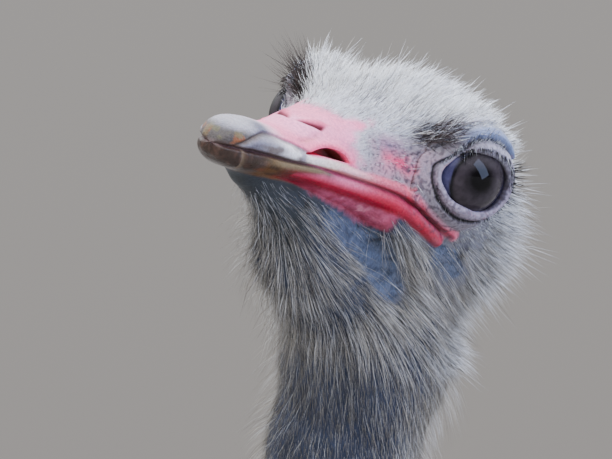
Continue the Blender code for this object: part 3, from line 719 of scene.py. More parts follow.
    # eyelids: pale granules above, darker below, a black line of painted shade in the groove, then the blue
    # ring; painted shade also darkens the crease above the eye and the lids' edge where it rolls onto the
    # eyeball
    ring, turn, out = lid_ring(m)
    near = step(out, -12, -4)
    grain = step(noise(p / 0.8, 41) + 0.3 * fine, -0.1, 0.5)
    lid = near * (1 - step(ring, 1.33, 1.40))
    upper_lid = between(turn, -6, 14, 168, 186)
    granule = mix(GRANULE, LILAC * 0.72, upper_lid * 0.9)
    lay(mix(granule, paint(74, 66, 80), grain * (0.6 - 0.15 * upper_lid)), lid)
    lay(paint(206, 166, 168), lid * bump(turn, 22, 20) * (1 - step(ring, 1.06, 1.2)) * 0.9)
    lay(paint(150, 104, 118), lid * bump(turn, -95, 50) * step(speck, 0.3, 0.6) * 0.5)
    above = over_eye(turn)
    orbit = near * between(ring, 1.36, 1.42, 1.66, 1.9)
    lay(paint(138, 130, 144), orbit * (1 - above) * 0.75)
    lay(paint(66, 58, 70), near * between(ring, 1.38, 1.44, 2.1, 2.5) * (1 - above)
        * step(speck + 0.4 * fine, 0.1, 0.5) * 0.65)
    lay(ORBIT, orbit * above * 0.95)
    # painted shade: a black line in the lids' groove
    lay(GROOVE_SHADE, near * bump(ring, GROOVE_RING, 0.05) * 0.95)
    # painted shade in the crease above the eye
    lay(paint(60, 66, 88), near * bump(ring, 1.86, 0.06) * above * 0.6)
    # painted shade on the lids' edge where it rolls in against the eyeball
    lay(paint(40, 34, 44), near * (1 - step(ring, 0.99, 1.05)) * 0.8)
    brow = spot((x - 26) / 9, (z - 8.5 - 0.25 * (26 - x)) / 4.2) * step(side, 22, 28)
    lay(paint(78, 62, 58), brow * 0.8)
    lay(paint(30, 22, 24), bump(np.linalg.norm(m - (-9, 42.5, -35), axis=1), 0, 3.2))
    lay(paint(120, 84, 88), bump(np.hypot(x + 37, (z + 19) / 1.2), 0, 4.5) * step(side, 15, 22) * 0.8)
    # the body's skin, under the plumes, is blue grey
    far = step(-z, 66, 100)
    lump = noise(world_points / 0.011, 51)
    navy = mix(paint(54, 62, 84), paint(32, 37, 52), 0.5 + 0.5 * lump + 0.3 * fine)
    navy = mix(navy, paint(116, 117, 122), (1 - neck_front(world_points)) * (0.75 + 0.25 * lump))
    lower_neck = 1 - step(world_points[:, 2], 1.70, 2.12)
    navy = mix(navy, paint(62, 60, 66), lower_neck * (0.62 + 0.3 * lump))
    lay(navy, far)
    lay(paint(24, 22, 23), 1 - step(world_points[:, 2], 1.42, 1.50))
    gloss = mix(gloss[:, None], np.array([0.56]), far)[:, 0]
    gloss = gloss + 0.10 * np.maximum(blue, behind)
    return np.clip(c, 0, 1), gloss


def mark(piece, colours, gloss):
    """Stores markings and gloss on a piece's points."""
    layer = piece.data.attributes.new("Markings", "FLOAT_COLOR", "POINT")
    rgba = np.column_stack([colours, np.ones(len(colours))])
    layer.data.foreach_set("color", rgba.astype(np.float32).ravel())
    layer = piece.data.attributes.new("Gloss", "FLOAT", "POINT")
    layer.data.foreach_set("value", np.asarray(gloss, np.float32))


def places_of(piece):
    spots = np.empty(len(piece.data.vertices) * 3, np.float32)
    piece.data.vertices.foreach_get("co", spots)
    return spots.reshape(-1, 3).astype(float)


mark(skin, *skin_colours(places_of(skin)))


def set_up(node, **sockets):
    """Sets a node's sockets by name, with _ for each space."""
    for name, value in sockets.items():
        node.inputs[name.replace("_", " ")].default_value = value
    return node


def marked_finish(name, scale, detail, low, high, **sockets):
    """A material in the markings' colours, made darker and lighter by a fine noise over the object."""
    finish = bpy.data.materials.new(name)
    finish.use_nodes = True
    nodes, links = finish.node_tree.nodes, finish.node_tree.links
    shader = set_up(nodes["Principled BSDF"], **sockets)
    markings = nodes.new("ShaderNodeAttribute")
    markings.attribute_name = "Markings"
    place = nodes.new("ShaderNodeTexCoord")
    cloud = set_up(nodes.new("ShaderNodeTexNoise"), Scale=scale, Detail=detail)
    links.new(place.outputs["Object"], cloud.inputs["Vector"])
    reach = set_up(nodes.new("ShaderNodeMapRange"), From_Min=0.3, From_Max=0.7, To_Min=low, To_Max=high)
    links.new(cloud.outputs["Fac"], reach.inputs["Value"])
    shaded = nodes.new("ShaderNodeVectorMath")
    shaded.operation = "SCALE"
    links.new(markings.outputs["Color"], shaded.inputs[0])
    links.new(reach.outputs["Result"], shaded.inputs["Scale"])
    links.new(shaded.outputs[0], shader.inputs["Base Color"])
    return finish, nodes, links, shader, place


def with_gloss(nodes, links, shader):
    """The stored gloss, made the shader's roughness."""
    gloss = nodes.new("ShaderNodeAttribute")
    gloss.attribute_name = "Gloss"
    links.new(gloss.outputs["Fac"], shader.inputs["Roughness"])
    return gloss


skin_finish, nodes, links, shader, place = marked_finish(
    "bare skin and horn", 900, 3, 0.82, 1.16, Specular_IOR_Level=0.25, Subsurface_Weight=0.08,
    Subsurface_Radius=(0.004, 0.0015, 0.001), Subsurface_Scale=1.0)
gloss = with_gloss(nodes, links, shader)
grain = set_up(nodes.new("ShaderNodeTexVoronoi"), Scale=1100)
links.new(place.outputs["Object"], grain.inputs["Vector"])
relief = set_up(nodes.new("ShaderNodeBump"), Strength=0.35, Distance=0.0004)
links.new(grain.outputs["Distance"], relief.inputs["Height"])
long_way = set_up(nodes.new("ShaderNodeMapping"), Rotation=(0.55, 0, 0), Scale=(1, 1, 0.38))
links.new(place.outputs["Object"], long_way.inputs["Vector"])
wrinkles = set_up(nodes.new("ShaderNodeTexVoronoi"), Scale=900)
wrinkles.feature = "DISTANCE_TO_EDGE"
links.new(long_way.outputs["Vector"], wrinkles.inputs["Vector"])
bare = set_up(nodes.new("ShaderNodeMapRange"), From_Min=0.56, From_Max=0.64)
links.new(gloss.outputs["Fac"], bare.inputs["Value"])
folds = set_up(nodes.new("ShaderNodeBump"), Distance=0.0012)
links.new(bare.outputs["Result"], folds.inputs["Strength"])
links.new(wrinkles.outputs["Distance"], folds.inputs["Height"])
links.new(relief.outputs["Normal"], folds.inputs["Normal"])
links.new(folds.outputs["Normal"], shader.inputs["Normal"])
skin.data.materials.append(skin_finish)

# ---- eyelids ----
# Each pair of lids is a thick granular ring round the opening, with a soft rounded edge that lies on the
# eyeball. It is turned on rays from the eyeball's centre, and its outer edge sinks under the skin.
def eye_ray(turn, polar):
    """Directions at an angle round the eye's axis and an angle away from it, on the left side."""
    turn, polar = np.broadcast_arrays(turn, polar)
    t, f = turn.ravel(), polar.ravel()
    aside = np.cos(t)[:, None] * eye_across + np.sin(t)[:, None] * eye_up
    return np.cos(f)[:, None] * eye_out + np.sin(f)[:, None] * aside


def lid_polar(turn, ring):
    """The angle from the eye's axis at which the lids' ring number is reached."""
    turned = (np.degrees(turn) + 180) % 360 - 180
    opening, edge = curve(turned, LID_OPENING), curve(turned, LID_EDGE)
    on_lid = opening + (ring - 1) / (GROOVE_RING - 1) * (edge - opening)
    reach = np.where(ring < GROOVE_RING, on_lid, edge * ring / GROOVE_RING)
    return np.arctan2(reach, 17.6 - 3.5 * np.clip(reach / opening - 1, 0, 1.3))


BOTH = (("left", 1), ("right", -1))
LID_POINTS = 240
EDGE_REACH = 22.3
LID_TURNS = 2 * np.pi * np.arange(LID_POINTS) / LID_POINTS
turned = (np.degrees(LID_TURNS) + 180) % 360 - 180
opening = curve(turned, LID_OPENING)
inner_ring = 1 + (GROOVE_RING - 1) * 0.10 * opening / (curve(turned, LID_EDGE) - opening)
lid_rings = inner_ring + (2.12 - inner_ring) * np.linspace(0, 1, 42)[:, None]
lid_rings = np.concatenate([lid_rings, np.full((2, LID_POINTS), 2.2) + [[0], [0.1]]])
for word, side in BOTH:
    mirror = np.array([1, side, 1])
    rays_turn = np.repeat(LID_TURNS[None], len(lid_rings), 0)
    polar = lid_polar(rays_turn, lid_rings)
    rays = eye_ray(rays_turn, polar) * mirror
    low, high = np.full(len(rays), 15.0), np.full(len(rays), 40.0)
    # the first crossing outwards, by steps and then halving
    found = np.zeros(len(rays), bool)
    for r in np.arange(15, 40, 0.7):
        d = head_form(EYE_SPOT * mirror + rays * r, lids=True)
        new_found = ~found & (d > 0)
        high[new_found] = r
        low[new_found] = max(15, r - 0.7)
        found |= new_found
    for _ in range(9):
        half = (low + high) / 2
        inside = head_form(EYE_SPOT * mirror + rays * half[:, None], lids=True) < 0
        low = np.where(inside, half, low)
        high = np.where(inside, high, half)
    reach = high.reshape(polar.shape)
    edge_polar = polar[0]
    radius = (reach[0] - EDGE_REACH) / 2
    rows = [(np.full(LID_POINTS, r), edge_polar + np.radians(f)) for r, f in ((20.5, 14), (21.8, 5))]
    for bend in np.radians([-90, -60, -30, 0, 30, 60]):
        rows.append((EDGE_REACH + radius + radius * np.sin(bend), edge_polar - radius * np.cos(bend) / 23))
    rows += [(reach[k], polar[k]) for k in range(len(lid_rings))]
    grid = np.array([(EYE_SPOT + eye_ray(LID_TURNS, q) * r[:, None]) * mirror for r, q in rows])
    index = numbered(grid, 0)
    faces = ring_faces(np.concatenate([index, index[:1]]))
    if side > 0:
        faces = faces[:, ::-1]
    lids = solid("eyelids_" + word, to_world(grid.reshape(-1, 3)), [tuple(f) for f in faces.tolist()])
    mark(lids, *skin_colours(places_of(lids)))
    lids.data.materials.append(skin_finish)

# ---- eyes ----
# The eyeball is a firm dark globe with a bulging front, all under one clear coat. A very dark brown iris
# fills most of the opening; beyond its black edge the bluish globe shows in the corners.
EYE_MIDDLE = np.array([-1.2, -0.9])
DOME_SET = 8.2
DOME_RADIUS = 17.4
spokes = LID_TURNS[::2]
for word, side in BOTH:
    mirror = np.array([1, side, 1])
    polar = np.radians(np.concatenate([np.linspace(172, 62, 14), np.linspace(58, 41, 8)]))
    grid = [EYE_SPOT + eye_ray(spokes, f) * EYE_BALL for f in polar]
    dome = np.radians(np.linspace(56, 1.5, 24))
    grid += [EYE_SPOT + eye_out * DOME_SET + eye_ray(spokes, f) * DOME_RADIUS for f in dome]
    grid = np.array(grid)
    faces = closed(grid)
    if side > 0:
        faces = [f[::-1] for f in faces]
    globe = solid("eyeball_" + word, to_world((grid * mirror).reshape(-1, 3)), faces)
    u, v, out = eye_view(grid.reshape(-1, 3))
    bite = np.hypot(u - EYE_MIDDLE[0], v - EYE_MIDDLE[1])
    pupil = np.hypot(u - EYE_MIDDLE[0] - 2.8, v - EYE_MIDDLE[1] - 1.8)
    iris = mix(paint(50, 44, 49), paint(6, 5, 7), 1 - step(pupil, 3.6, 9.4))
    iris = mix(iris, paint(8, 8, 12), bump(bite, 13.6, 0.7))
    iris = mix(iris, paint(62, 60, 92), step(bite, 13.9, 14.4))
    iris = mix(iris, paint(26, 24, 34), step(bite, 16.8, 19))
    mark(globe, iris, np.full(len(u), 0.08))
    eye_finish = marked_finish("eye " + word, 420, 4, 0.7, 1.3, Roughness=0.12, Specular_IOR_Level=0.0,
                               Coat_Weight=0.6, Coat_IOR=1.33, Coat_Roughness=0.02)[0]
    globe.data.materials.append(eye_finish)
    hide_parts("eye_" + word)

# ---- bristles of the head ----
# The crown carries dense pale bristles that stand and sweep back; finer hair-like feathers lie down over
# cheek and throat, and a few long ones stand off everywhere. Each is a thin closed spike, and the upright and
# long ones bend.
def grid_normals(rings):
    """Outward directions at the points of a grid of rings."""
    along = np.gradient(rings, axis=0)
    about = np.roll(rings, -1, 1) - np.roll(rings, 1, 1)
    n = np.cross(about, along)
    return n / np.maximum(np.linalg.norm(n, axis=2, keepdims=True), 1e-12)


def sow(rings, weigh, count, rng):
    """Roots on a grid of rings, as dense as weigh says: points, outward directions, unwrap places."""
    corner, beside = rings[:-1], np.roll(rings, -1, 1)[:-1]
    below, across_it = rings[1:], np.roll(rings, -1, 1)[1:]
    area = np.linalg.norm(np.cross(across_it - corner, below - beside), axis=2) / 2
    centres = (corner + across_it) / 2
    chance = (area * weigh(centres.reshape(-1, 3)).reshape(area.shape)).ravel()
    total = np.cumsum(chance)
    cell = np.searchsorted(total, (np.arange(count) + rng.random(count)) / count * total[-1])
    row, column = np.divmod(np.minimum(cell, chance.size - 1), rings.shape[1])
    s, t = rng.random((2, count, 1))
    points = []
    for field in (rings, grid_normals(rings)):
        after = (column + 1) % rings.shape[1]
        upper = field[row, column] * (1 - t) + field[row, after] * t
        lower = field[row + 1, column] * (1 - t) + field[row + 1, after] * t
        points.append(upper * (1 - s) + lower * s)
    normal = points[1] / np.linalg.norm(points[1], axis=1, keepdims=True)
    patch = np.column_stack([(column + t[:, 0]) / rings.shape[1], (row + s[:, 0]) / rings.shape[0]])
    return points[0], normal, patch


def unit(v):
    return v / np.maximum(np.linalg.norm(v, axis=1, keepdims=True), 1e-12)


def laid(lie, normal):
    """The part of a direction that runs along the skin."""
    return unit(lie - normal * np.sum(lie * normal, axis=1, keepdims=True))


def raised(flow, normal, stand):
    """A direction along the skin, lifted off it by an angle."""
    return unit(flow * np.cos(stand)[:, None] + normal * np.sin(stand)[:, None])


def hairs(name, spots, thick, colours, patch, finish):
    """Closed three-sided spikes through lists of spots, the last one a point; colours run root to tip."""
    spots = np.asarray(spots)
    bends, count = spots.shape[0] - 1, spots.shape[1]
    rng = np.random.default_rng(bends * 7919 + count)
    helper = unit(rng.normal(size=(count, 3)))
    turned = 2 * np.pi * np.arange(3) / 3
    points = np.empty((count, 3 * bends + 1, 3))
    for k in range(bends):
        run = unit(spots[k + 1] - spots[max(k - 1, 0)])
        a = unit(np.cross(run, helper))
        b = np.cross(run, a)
        for j, angle in enumerate(turned):
            points[:, 3 * k + j] = spots[k] + (np.cos(angle) * a + np.sin(angle) * b) * thick[k][:, None]
    points[:, -1] = spots[-1]
    faces = [(2, 1, 0)]
    for k in range(bends - 1):
        faces += [(3 * k + j, 3 * k + (j + 1) % 3, 3 * k + 3 + (j + 1) % 3, 3 * k + 3 + j) for j in range(3)]
    last = 3 * bends - 3
    faces += [(last + j, last + (j + 1) % 3, 3 * bends) for j in range(3)]
    loops = np.concatenate([np.array(f) for f in faces])
    sizes = np.array([len(f) for f in faces])
    stride = points.shape[1]
    mesh = bpy.data.meshes.new(name)
    mesh.vertices.add(count * stride)
    mesh.vertices.foreach_set("co", points.astype(np.float32).ravel())
    corners = (loops[None] + stride * np.arange(count)[:, None]).ravel()
    mesh.loops.add(len(corners))
    mesh.loops.foreach_set("vertex_index", corners.astype(np.int32))
    mesh.polygons.add(count * len(faces))
    starts = np.concatenate([[0], np.cumsum(np.tile(sizes, count))[:-1]])
    mesh.polygons.foreach_set("loop_start", starts.astype(np.int32))
    mesh.update(calc_edges=True)
    mesh.shade_smooth()
    layer = mesh.uv_layers.new(name="OFBake")
    across_patch = np.concatenate([np.tile([0, 0.001, 0.002], bends), [0.001]])
    up_patch = np.concatenate([np.repeat(np.arange(bends), 3), [bends]]) * 0.003 / bends
    spread = np.column_stack([across_patch, up_patch])
    where = (0.003 + 0.99 * patch[:, None] + spread).reshape(-1, 2)
    layer.data.foreach_set("uv", where[corners].astype(np.float32).ravel())
    piece = bpy.data.objects.new(name, mesh)
    bpy.context.scene.collection.objects.link(piece)
    shade = [np.repeat(colour[:, None], 3, 1) for colour in colours[:-1]]
    shade = np.concatenate(shade + [colours[-1][:, None]], 1)
    layer = mesh.attributes.new("Markings", "FLOAT_COLOR", "POINT")
    rgba = np.concatenate([shade, np.ones(shade.shape[:2] + (1,))], 2)
    layer.data.foreach_set("color", rgba.astype(np.float32).ravel())
    mesh.materials.append(finish)
    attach(piece, "root")
    return piece


WHITE = paint(248, 249, 251)
SILVER = paint(208, 210, 215)
BEIGE = paint(176, 168, 152)
TAUPE = paint(124, 116, 106)
SOOT = paint(26, 24, 26)


def lore_of(x, side, z, rise):
    """1 on the lore, the thinly grown stretch between eye and bill."""
    return between(x, 20, 28, 52, 64) * (1 - step(z, 2, 8)) * step(side, 12, 18) * step(rise, -2, 0)


def hair_cover(world_points):
    """How densely the head grows bristles, 0 where it is bare."""
    p = to_head(world_points)
    x, side, z = p[:, 0], np.abs(p[:, 1]), p[:, 2]
    rise = z - curve(x, MOUTH)
    front = face_front(side, z, 61, 4)
    cover = 1 - step(x + 2.5 * noise(p / 9, 21), front - 2, front + 3) * step(rise, -2, 0)
    cover = cover * (1 - 0.75 * lore_of(x, side, z, rise))
    lips = step(x, 0, 6) * step(rise, -9, -7.5) * (1 - step(rise, 3, 5)) * step(side, 10, 16)
    cover = cover * (1 - lips)
    cover = cover * (1 - step(x, 31, 36) * step(z - curve(x, BILL_FLOOR), -2.2, -1.2)
                     * (1 - step(rise, 3, 5)))
    cover = cover * (1 - step(x, 100, 106))
    ring, turn, out = lid_ring(np.column_stack([x, side, z]))
    cover = cover * (1 - step(out, -12, -6) * (1 - step(ring - 0.08 * over_eye(turn), 1.40, 1.58)))
    blue, behind = bare_patches(x, side, z)
    stream = bump(within(x, z, UNDER_JAW), -2.6, 2.2) * step(side, 9, 14) * step(-z, 34, 40)
    cover = cover * (1 - 0.96 * blue) * (1 - 0.93 * behind) * (1 + 1.2 * stream)
    cover = cover * (1 - 0.35 * step(x, 66, 78) * step(-z, 18, 26))
    crown = step(z, -24, -4) * (1 - step(x, 30, 75))
    nape = step(-x, 8, 32) * step(-z, -2, 16)
    cheek = between(x, -40, -20, 24, 34) * between(-z, 28, 36, 74, 84) * step(side, 12, 20)
    return cover * (0.52 + 0.95 * crown + 0.55 * nape + 0.35 * cheek)


def comb(p, normal):
    """Which way the bristles of the head lie, and how steeply they stand, in the head's frame."""
    x, z = p[:, 0], p[:, 2]
    top, low, neck = step(z, -14, 6), step(-z, 14, 34), step(-z, 62, 96)
    lie = np.column_stack([-0.75 - 0.25 * top - 0.12 * low + 0.30 * neck, 0.12 * p[:, 1] / 30 * (1 - low),
                           -0.35 + 0.75 * top - 0.15 * low - 0.40 * neck])
    wave = 0.24 - 0.13 * low
    lie += wave[:, None] * np.column_stack([noise(p / 7, 61), noise(p / 7, 62), noise(p / 7, 63)])
    flow = laid(lie, normal)
    nape = step(-x, 12, 34) * step(-z, -2, 16)
    stand = 13 + 4 * top + 20 * nape - 5 * low * (1 - nape) + 9 * low * step(normal[:, 0], 0.1, 0.6)
    return flow, np.radians(stand)


rng = np.random.default_rng(5)
hair_finish = marked_finish("bristle", 260, 2, 0.88, 1.12, Roughness=0.5, Specular_IOR_Level=0.2)[0]

HEAD_HAIRS = 96000
ROOT_DEPTH = 0.4
root, normal, patch = sow(head_rings, hair_cover, HEAD_HAIRS, rng)
p = to_head(root)
n = normal @ HEAD_AXES.T
x, side, z = p[:, 0], np.abs(p[:, 1]), p[:, 2]
flow, stand = comb(p, n)
count = len(root)
top = step(z, -14, 6)
low = step(-z, 14, 40)
face = step(x, 24, 50) * (1 - low)
nape = step(-x, 12, 34) * step(-z, -2, 16)
length = (7.6 + 3.2 * nape + 4.0 * low * (1 - nape)) * (1 - 0.50 * face)
length *= 0.55 + 0.8 * rng.random(count)
ring, turn, out = lid_ring(np.column_stack([x, side, z]))
close = step(out, -12, -4) * (1 - step(ring, 1.7, 2.5))
length *= 1 - 0.6 * close
lore = lore_of(x, side, z, z - curve(x, MOUTH))
length *= 1 - 0.55 * lore
wild = rng.random(count) < 0.012 + 0.012 * top + 0.02 * nape + 0.15 * low * step(n[:, 0], 0, 0.5)
length = np.where(wild, length * 1.3 + 4, length)
upright = rng.random(count) < (0.10 * top + 0.12 * nape) * (1 - step(x, 40, 60))
length = np.where(upright, length * 1.15, length)
stand = stand + np.radians(6) * rng.normal(size=count) + np.radians(26) * wild + np.radians(30) * upright
flow = unit(flow + (0.18 - 0.11 * low)[:, None] * rng.normal(size=(count, 3)))
start = raised(flow, n, stand)
curl = np.radians(12 + 12 * rng.random(count))
end = raised(flow, n, stand - curl)
half = p + start * (length * 0.5)[:, None]
tip = half + end * (length * 0.55)[:, None]
skin_tone = skin_colours(root)[0]
pick = rng.random(count)
pale = mix(SILVER, WHITE, rng.random(count) * 0.6 + 0.4 * top)
warm = mix(BEIGE, TAUPE, rng.random(count))
cheek = (1 - step(x, 18, 34)) * step(side, 12, 22)
low = low * (1 - 0.8 * nape)
tone = mix(pale, warm, np.where(pick < 0.14 + 0.5 * low, 0.8, 0.3 * low))
tone = tone * (1 - 0.15 * low + 0.30 * low * cheek)[:, None]
black = rng.random(count) < 0.06 - 0.03 * top + 0.45 * lore + 0.16 * top * step(x, 18, 45)
on_brow = spot((x - 26) / 10, (z - 9 - 0.25 * (26 - x)) / 5) * step(side, 20, 27)
black |= (rng.random(count) < 0.35) & (on_brow > 0.35)
tone = np.where(black[:, None], SOOT * 1.3 + 0.4 * paint(64, 48, 44) * (x > 10)[:, None], tone)
# the roots are darker than the tips: painted shade deep in the coat, tinged with the skin's colour
base = tone * (0.55 + 0.35 * np.maximum(top, nape))[:, None] + skin_tone * 0.2
thick = (0.115 - 0.025 * face - 0.03 * low) * (0.7 + 0.6 * rng.random(count)) * MM
bent = wild | upright | (rng.random(count) < 0.08)
odd = np.arange(count) % 2 == 1
for letter, pick in (("a", ~bent & odd), ("b", ~bent & ~odd), ("c", bent & odd), ("d", bent & ~odd)):
    foot, knee_at, end_at = (to_world(q[pick]) for q in (p - n * ROOT_DEPTH, half, tip))
    if letter in "ab":
        hairs("head_bristles_" + letter, [foot, end_at], [thick[pick]], [base[pick], tone[pick]], patch[pick],
              hair_finish)
    else:
        hairs("head_bristles_" + letter, [foot, knee_at, end_at], [thick[pick], thick[pick] * 0.72],
              [base[pick], tone[pick], tone[pick] * 1.06], patch[pick], hair_finish)

# ---- lashes and brows ----
# Both lids carry lashes that are really stiff black bristles: long on the upper lid, short on the lower.
# Longer ones make a dark brow, which is fuller over the right eye.
def rooted(ray, mirror, sink, distances, lids):
    """Where rays from the eye's middle leave the face, sunk a little into it."""
    reach = np.full(len(ray), float(distances[0]))
    for r in distances:
        d = head_form((EYE_SPOT + ray * r) * mirror, lids=lids)
        reach = np.where(d < 0, r, reach)
    return EYE_SPOT + ray * (reach - sink)[:, None]


for word, side in BOTH:
    mirror = np.array([1, side, 1])
    rng = np.random.default_rng(17)
    count = 680
    kind = np.arange(count) % 10
    hanging, outer, rear = kind < 4, (kind >= 4) & (kind < 7), kind == 7
    turn = np.select([hanging, outer, rear], [rng.uniform(38, 178, count), rng.uniform(8, 120, count),
                                              rng.uniform(150, 200, count)], rng.uniform(-168, -20, count))
    turn = np.radians(turn)
    ring = np.select([hanging, outer, rear], [rng.uniform(1.03, 1.16, count), rng.uniform(1.12, 1.33, count),
                                              rng.uniform(1.15, 1.36, count)], rng.uniform(1.25, 1.36, count))
    polar = lid_polar(turn, ring)
    ray = eye_ray(turn, polar)
    root = rooted(ray, mirror, 0.3, np.arange(18, 34, 0.25), True)
    radial = unit(ray - eye_out * (ray @ eye_out)[:, None])
    long = np.select([hanging, outer, rear], [4.2, 2.4, 6.5], 2.2) * rng.uniform(0.7, 1.3, count)
    droop = np.select([hanging, outer, rear], [-0.85, 0.5, 0.1], -0.3)
    spread = np.select([hanging, outer, rear], [-0.1, 0.6, 1.0], 0.9)
    stray = 0.15 * rng.normal(size=(count, 3))
    aim = unit(eye_out + radial * spread[:, None] + eye_up * droop[:, None] + stray)
    bend = unit(aim + radial * (0.4 * spread)[:, None] + eye_up * (0.5 * droop)[:, None])
    half = root + aim * (long * 0.5)[:, None]
    tip = half + bend * (long * 0.55)[:, None]
    dark = rng.random(count) < np.where(outer, 0.35, 0.85)
    tone = np.where(dark[:, None], SOOT, SILVER * 0.8)
    thick = rng.uniform(0.09, 0.15, count) * MM
    spots = [to_world(q * mirror) for q in (root, half, tip)]
    patch = np.column_stack([(turn / np.pi + 1) / 2.2, ring - 1])
    hairs("lashes_" + word, spots, [thick, thick * 0.7], [tone, tone, tone], patch, hair_finish)

# the brow: a brush of long dark bristles that starts in front of the upper lid and fans outwards over it
for word, side in BOTH:
    mirror = np.array([1, side, 1])
    rng = np.random.default_rng(23)
    count, lift, size = (240, 0.42, 1) if side > 0 else (380, 0.70, 1.25)
    t = rng.random(count)
    guess = np.column_stack([34 - 17 * t + 2.2 * rng.normal(size=count),
                             30 + 8 * t + 2 * rng.normal(size=count),
                             8 + 3.5 * t + 2.2 * rng.normal(size=count)])
    ray = unit(guess - EYE_SPOT)
    root = rooted(ray, mirror, 0.4, np.arange(14, 48, 0.3), False)
    fan = rng.normal(size=(count, 3)) * [0.42, 0.18, 0.46]
    aim = unit(np.array([0.12, 0.90, lift]) + fan)
    long = size * rng.uniform(6, 15, count) * (1 + 0.4 * (rng.random(count) < 0.3))
    bend = unit(aim + np.array([-0.18, 0.30, 0.06]))
    half = root + aim * (long * 0.5)[:, None]
    tip = half + bend * (long * 0.55)[:, None]
    shade = rng.uniform(0.6, 1.6, (count, 1))
    tone = (SOOT * shade + paint(80, 66, 62) * (shade > 0.95)) * (1 if side > 0 else 0.55)
    thick = rng.uniform(0.07, 0.13, count) * MM
    spots = [to_world(q * mirror) for q in (root, half, tip)]
    hairs("brow_bristles_" + word, spots, [thick, thick * 0.7], [tone, tone, tone],
          np.column_stack([0.2 + 0.5 * t, rng.random(count) * 0.3 + 0.3]), hair_finish)

# ---- down of the neck ----
# The neck grows short pale hair-like down that lies downwards, and the slate skin shows between. It is finest
# and longest under the head, where it streams back from the throat, and coarse and stubbly lower down.
rng = np.random.default_rng(9)
collar = np.concatenate([head_rings[-1:, ::2], upper_rings])


def neck_cover(q):
    """How densely the neck grows down: thinner in front, none where the black plumes begin."""
    return (1.35 - 0.7 * neck_front(q)) * (1 + 0.5 * step(q[:, 2], 2.10, 2.25)) * step(q[:, 2], 1.43, 1.47)


for word, rings, count, bent in (("upper", collar, 23000, False), ("stray", collar, 2600, True),
                                 ("middle", lower_rings[:24], 13500, False),
                                 ("lower", lower_rings[23:54], 14500, False)):
    root, normal, patch = sow(rings, neck_cover, count, rng)
    stray = np.full(count, bent)
    near_head = step(root[:, 2], 2.17, 2.27)
    facing = step(-normal[:, 1], 0.1, 0.9)
    at_side = normal[:, 0] * np.abs(normal[:, 0])
    lie = np.column_stack([np.zeros(count), 0.05 + 0.45 * np.abs(at_side) * near_head, -np.ones(count)])
    lie += (0.20 - 0.10 * near_head)[:, None] * rng.normal(size=(count, 3))
    flow = laid(lie, normal)
    stand = np.radians(rng.uniform(7, 20, count)) + np.radians(28) * stray
    coarse = 1 - step(root[:, 2], 1.6, 2.1)
    length = 3.0 + 6.0 * near_head + 3.4 * (1 - facing) * (1 - coarse) + 3.0 * coarse
    length = length * rng.uniform(0.6, 1.3, count) * MM
    length = np.where(stray, length * 1.5 + 0.006, length)
    aim = raised(flow, normal, stand)
    half = root + aim * (length * 0.5)[:, None]
    tip = half + unit(aim + 0.3 * flow) * (length * 0.55)[:, None]
    tone = mix(BEIGE, SILVER, rng.random(count))
    tone = mix(tone, TAUPE, (rng.random(count) < 0.35) * 0.8)
    tone = tone * (1.22 - 0.47 * facing)[:, None]
    thick = rng.uniform(0.7, 1.3, count) * (0.125 - 0.035 * near_head - 0.03 * stray + 0.13 * coarse) * MM
    root = root - normal * ROOT_DEPTH * MM
    # the roots are darker than the tips: painted shade deep in the down
    if bent:
        spots, widths, tones = [root, half, tip], [thick, thick * 0.7], [tone * 0.6, tone, tone]
    else:
        spots, widths, tones = [root, tip], [thick], [tone * 0.55, tone]
    hairs("neck_down_" + word, spots, widths, tones, patch, hair_finish)

# ---- legs and toes ----
# The thighs are bare muscle under blue-grey skin. Below the hock the shin is scaled: broad overlapping scutes
# down its front and over the toes, reddish on a cock in breeding colours, and small round scales at the sides
# and back.
def along(count, *points):
    """Values spread along smooth lines through (place, value...) points."""
    points = np.array(points, float)
    t = np.linspace(points[0, 0], points[-1, 0], count)
    return t, np.stack([curve(t, list(zip(points[:, 0], column))) for column in points.T[1:]], 1)


def bar_rings(table, sides, across=(1, 0, 0), ground=None, power=2.0):
    """Rings along a line: a table row is a centre, the half-width across and the one square to it."""
    line = table[:, :3]
    run = unit(np.gradient(line, axis=0))
    across = np.broadcast_to(np.array(across, float), line.shape)
    across = unit(across - run * (across * run).sum(1)[:, None])
    square = np.cross(run, across)
    turn = 2 * np.pi * np.arange(sides) / sides
    c = np.sign(np.cos(turn)) * np.abs(np.cos(turn)) ** (2 / power)
    v = np.sign(np.sin(turn)) * np.abs(np.sin(turn)) ** (2 / power)
    rings = line[:, None] + across[:, None] * (table[:, 3, None] * c)[..., None]
    rings = rings + square[:, None] * (table[:, 4, None] * v)[..., None]
    if ground is not None:
        rings[..., 2] = np.maximum(rings[..., 2], ground)
    return rings


def scute(place, plate):
    """The overlap of plates along a limb: each swells to its lower edge, where a narrow groove parts it."""
    f = place / plate - np.floor(place / plate)
    return 0.35 + 0.65 * f - 1.15 * (1 - step(f, 0.0, 0.12)) - 0.75 * step(f, 0.90, 1.0)


STANCE = 0.205
STRIDE = 0.09
FOOT_SET = 0.052
HOCK_HEIGHT = 0.49
TOE_LENGTH = 0.150
OUTER_TOE_LENGTH = 0.088
LEG_SKIN = paint(122, 117, 124)
LEG_DARK = paint(76, 74, 84)
SCALE_GREY = paint(112, 104, 102)
SCALE_RED = paint(162, 78, 74)
SOLE = paint(74, 64, 58)
PLATE = 0.0150
TOE_PLATE = 0.0115
LEG_SIDES = 60
TOE_SIDES = 48

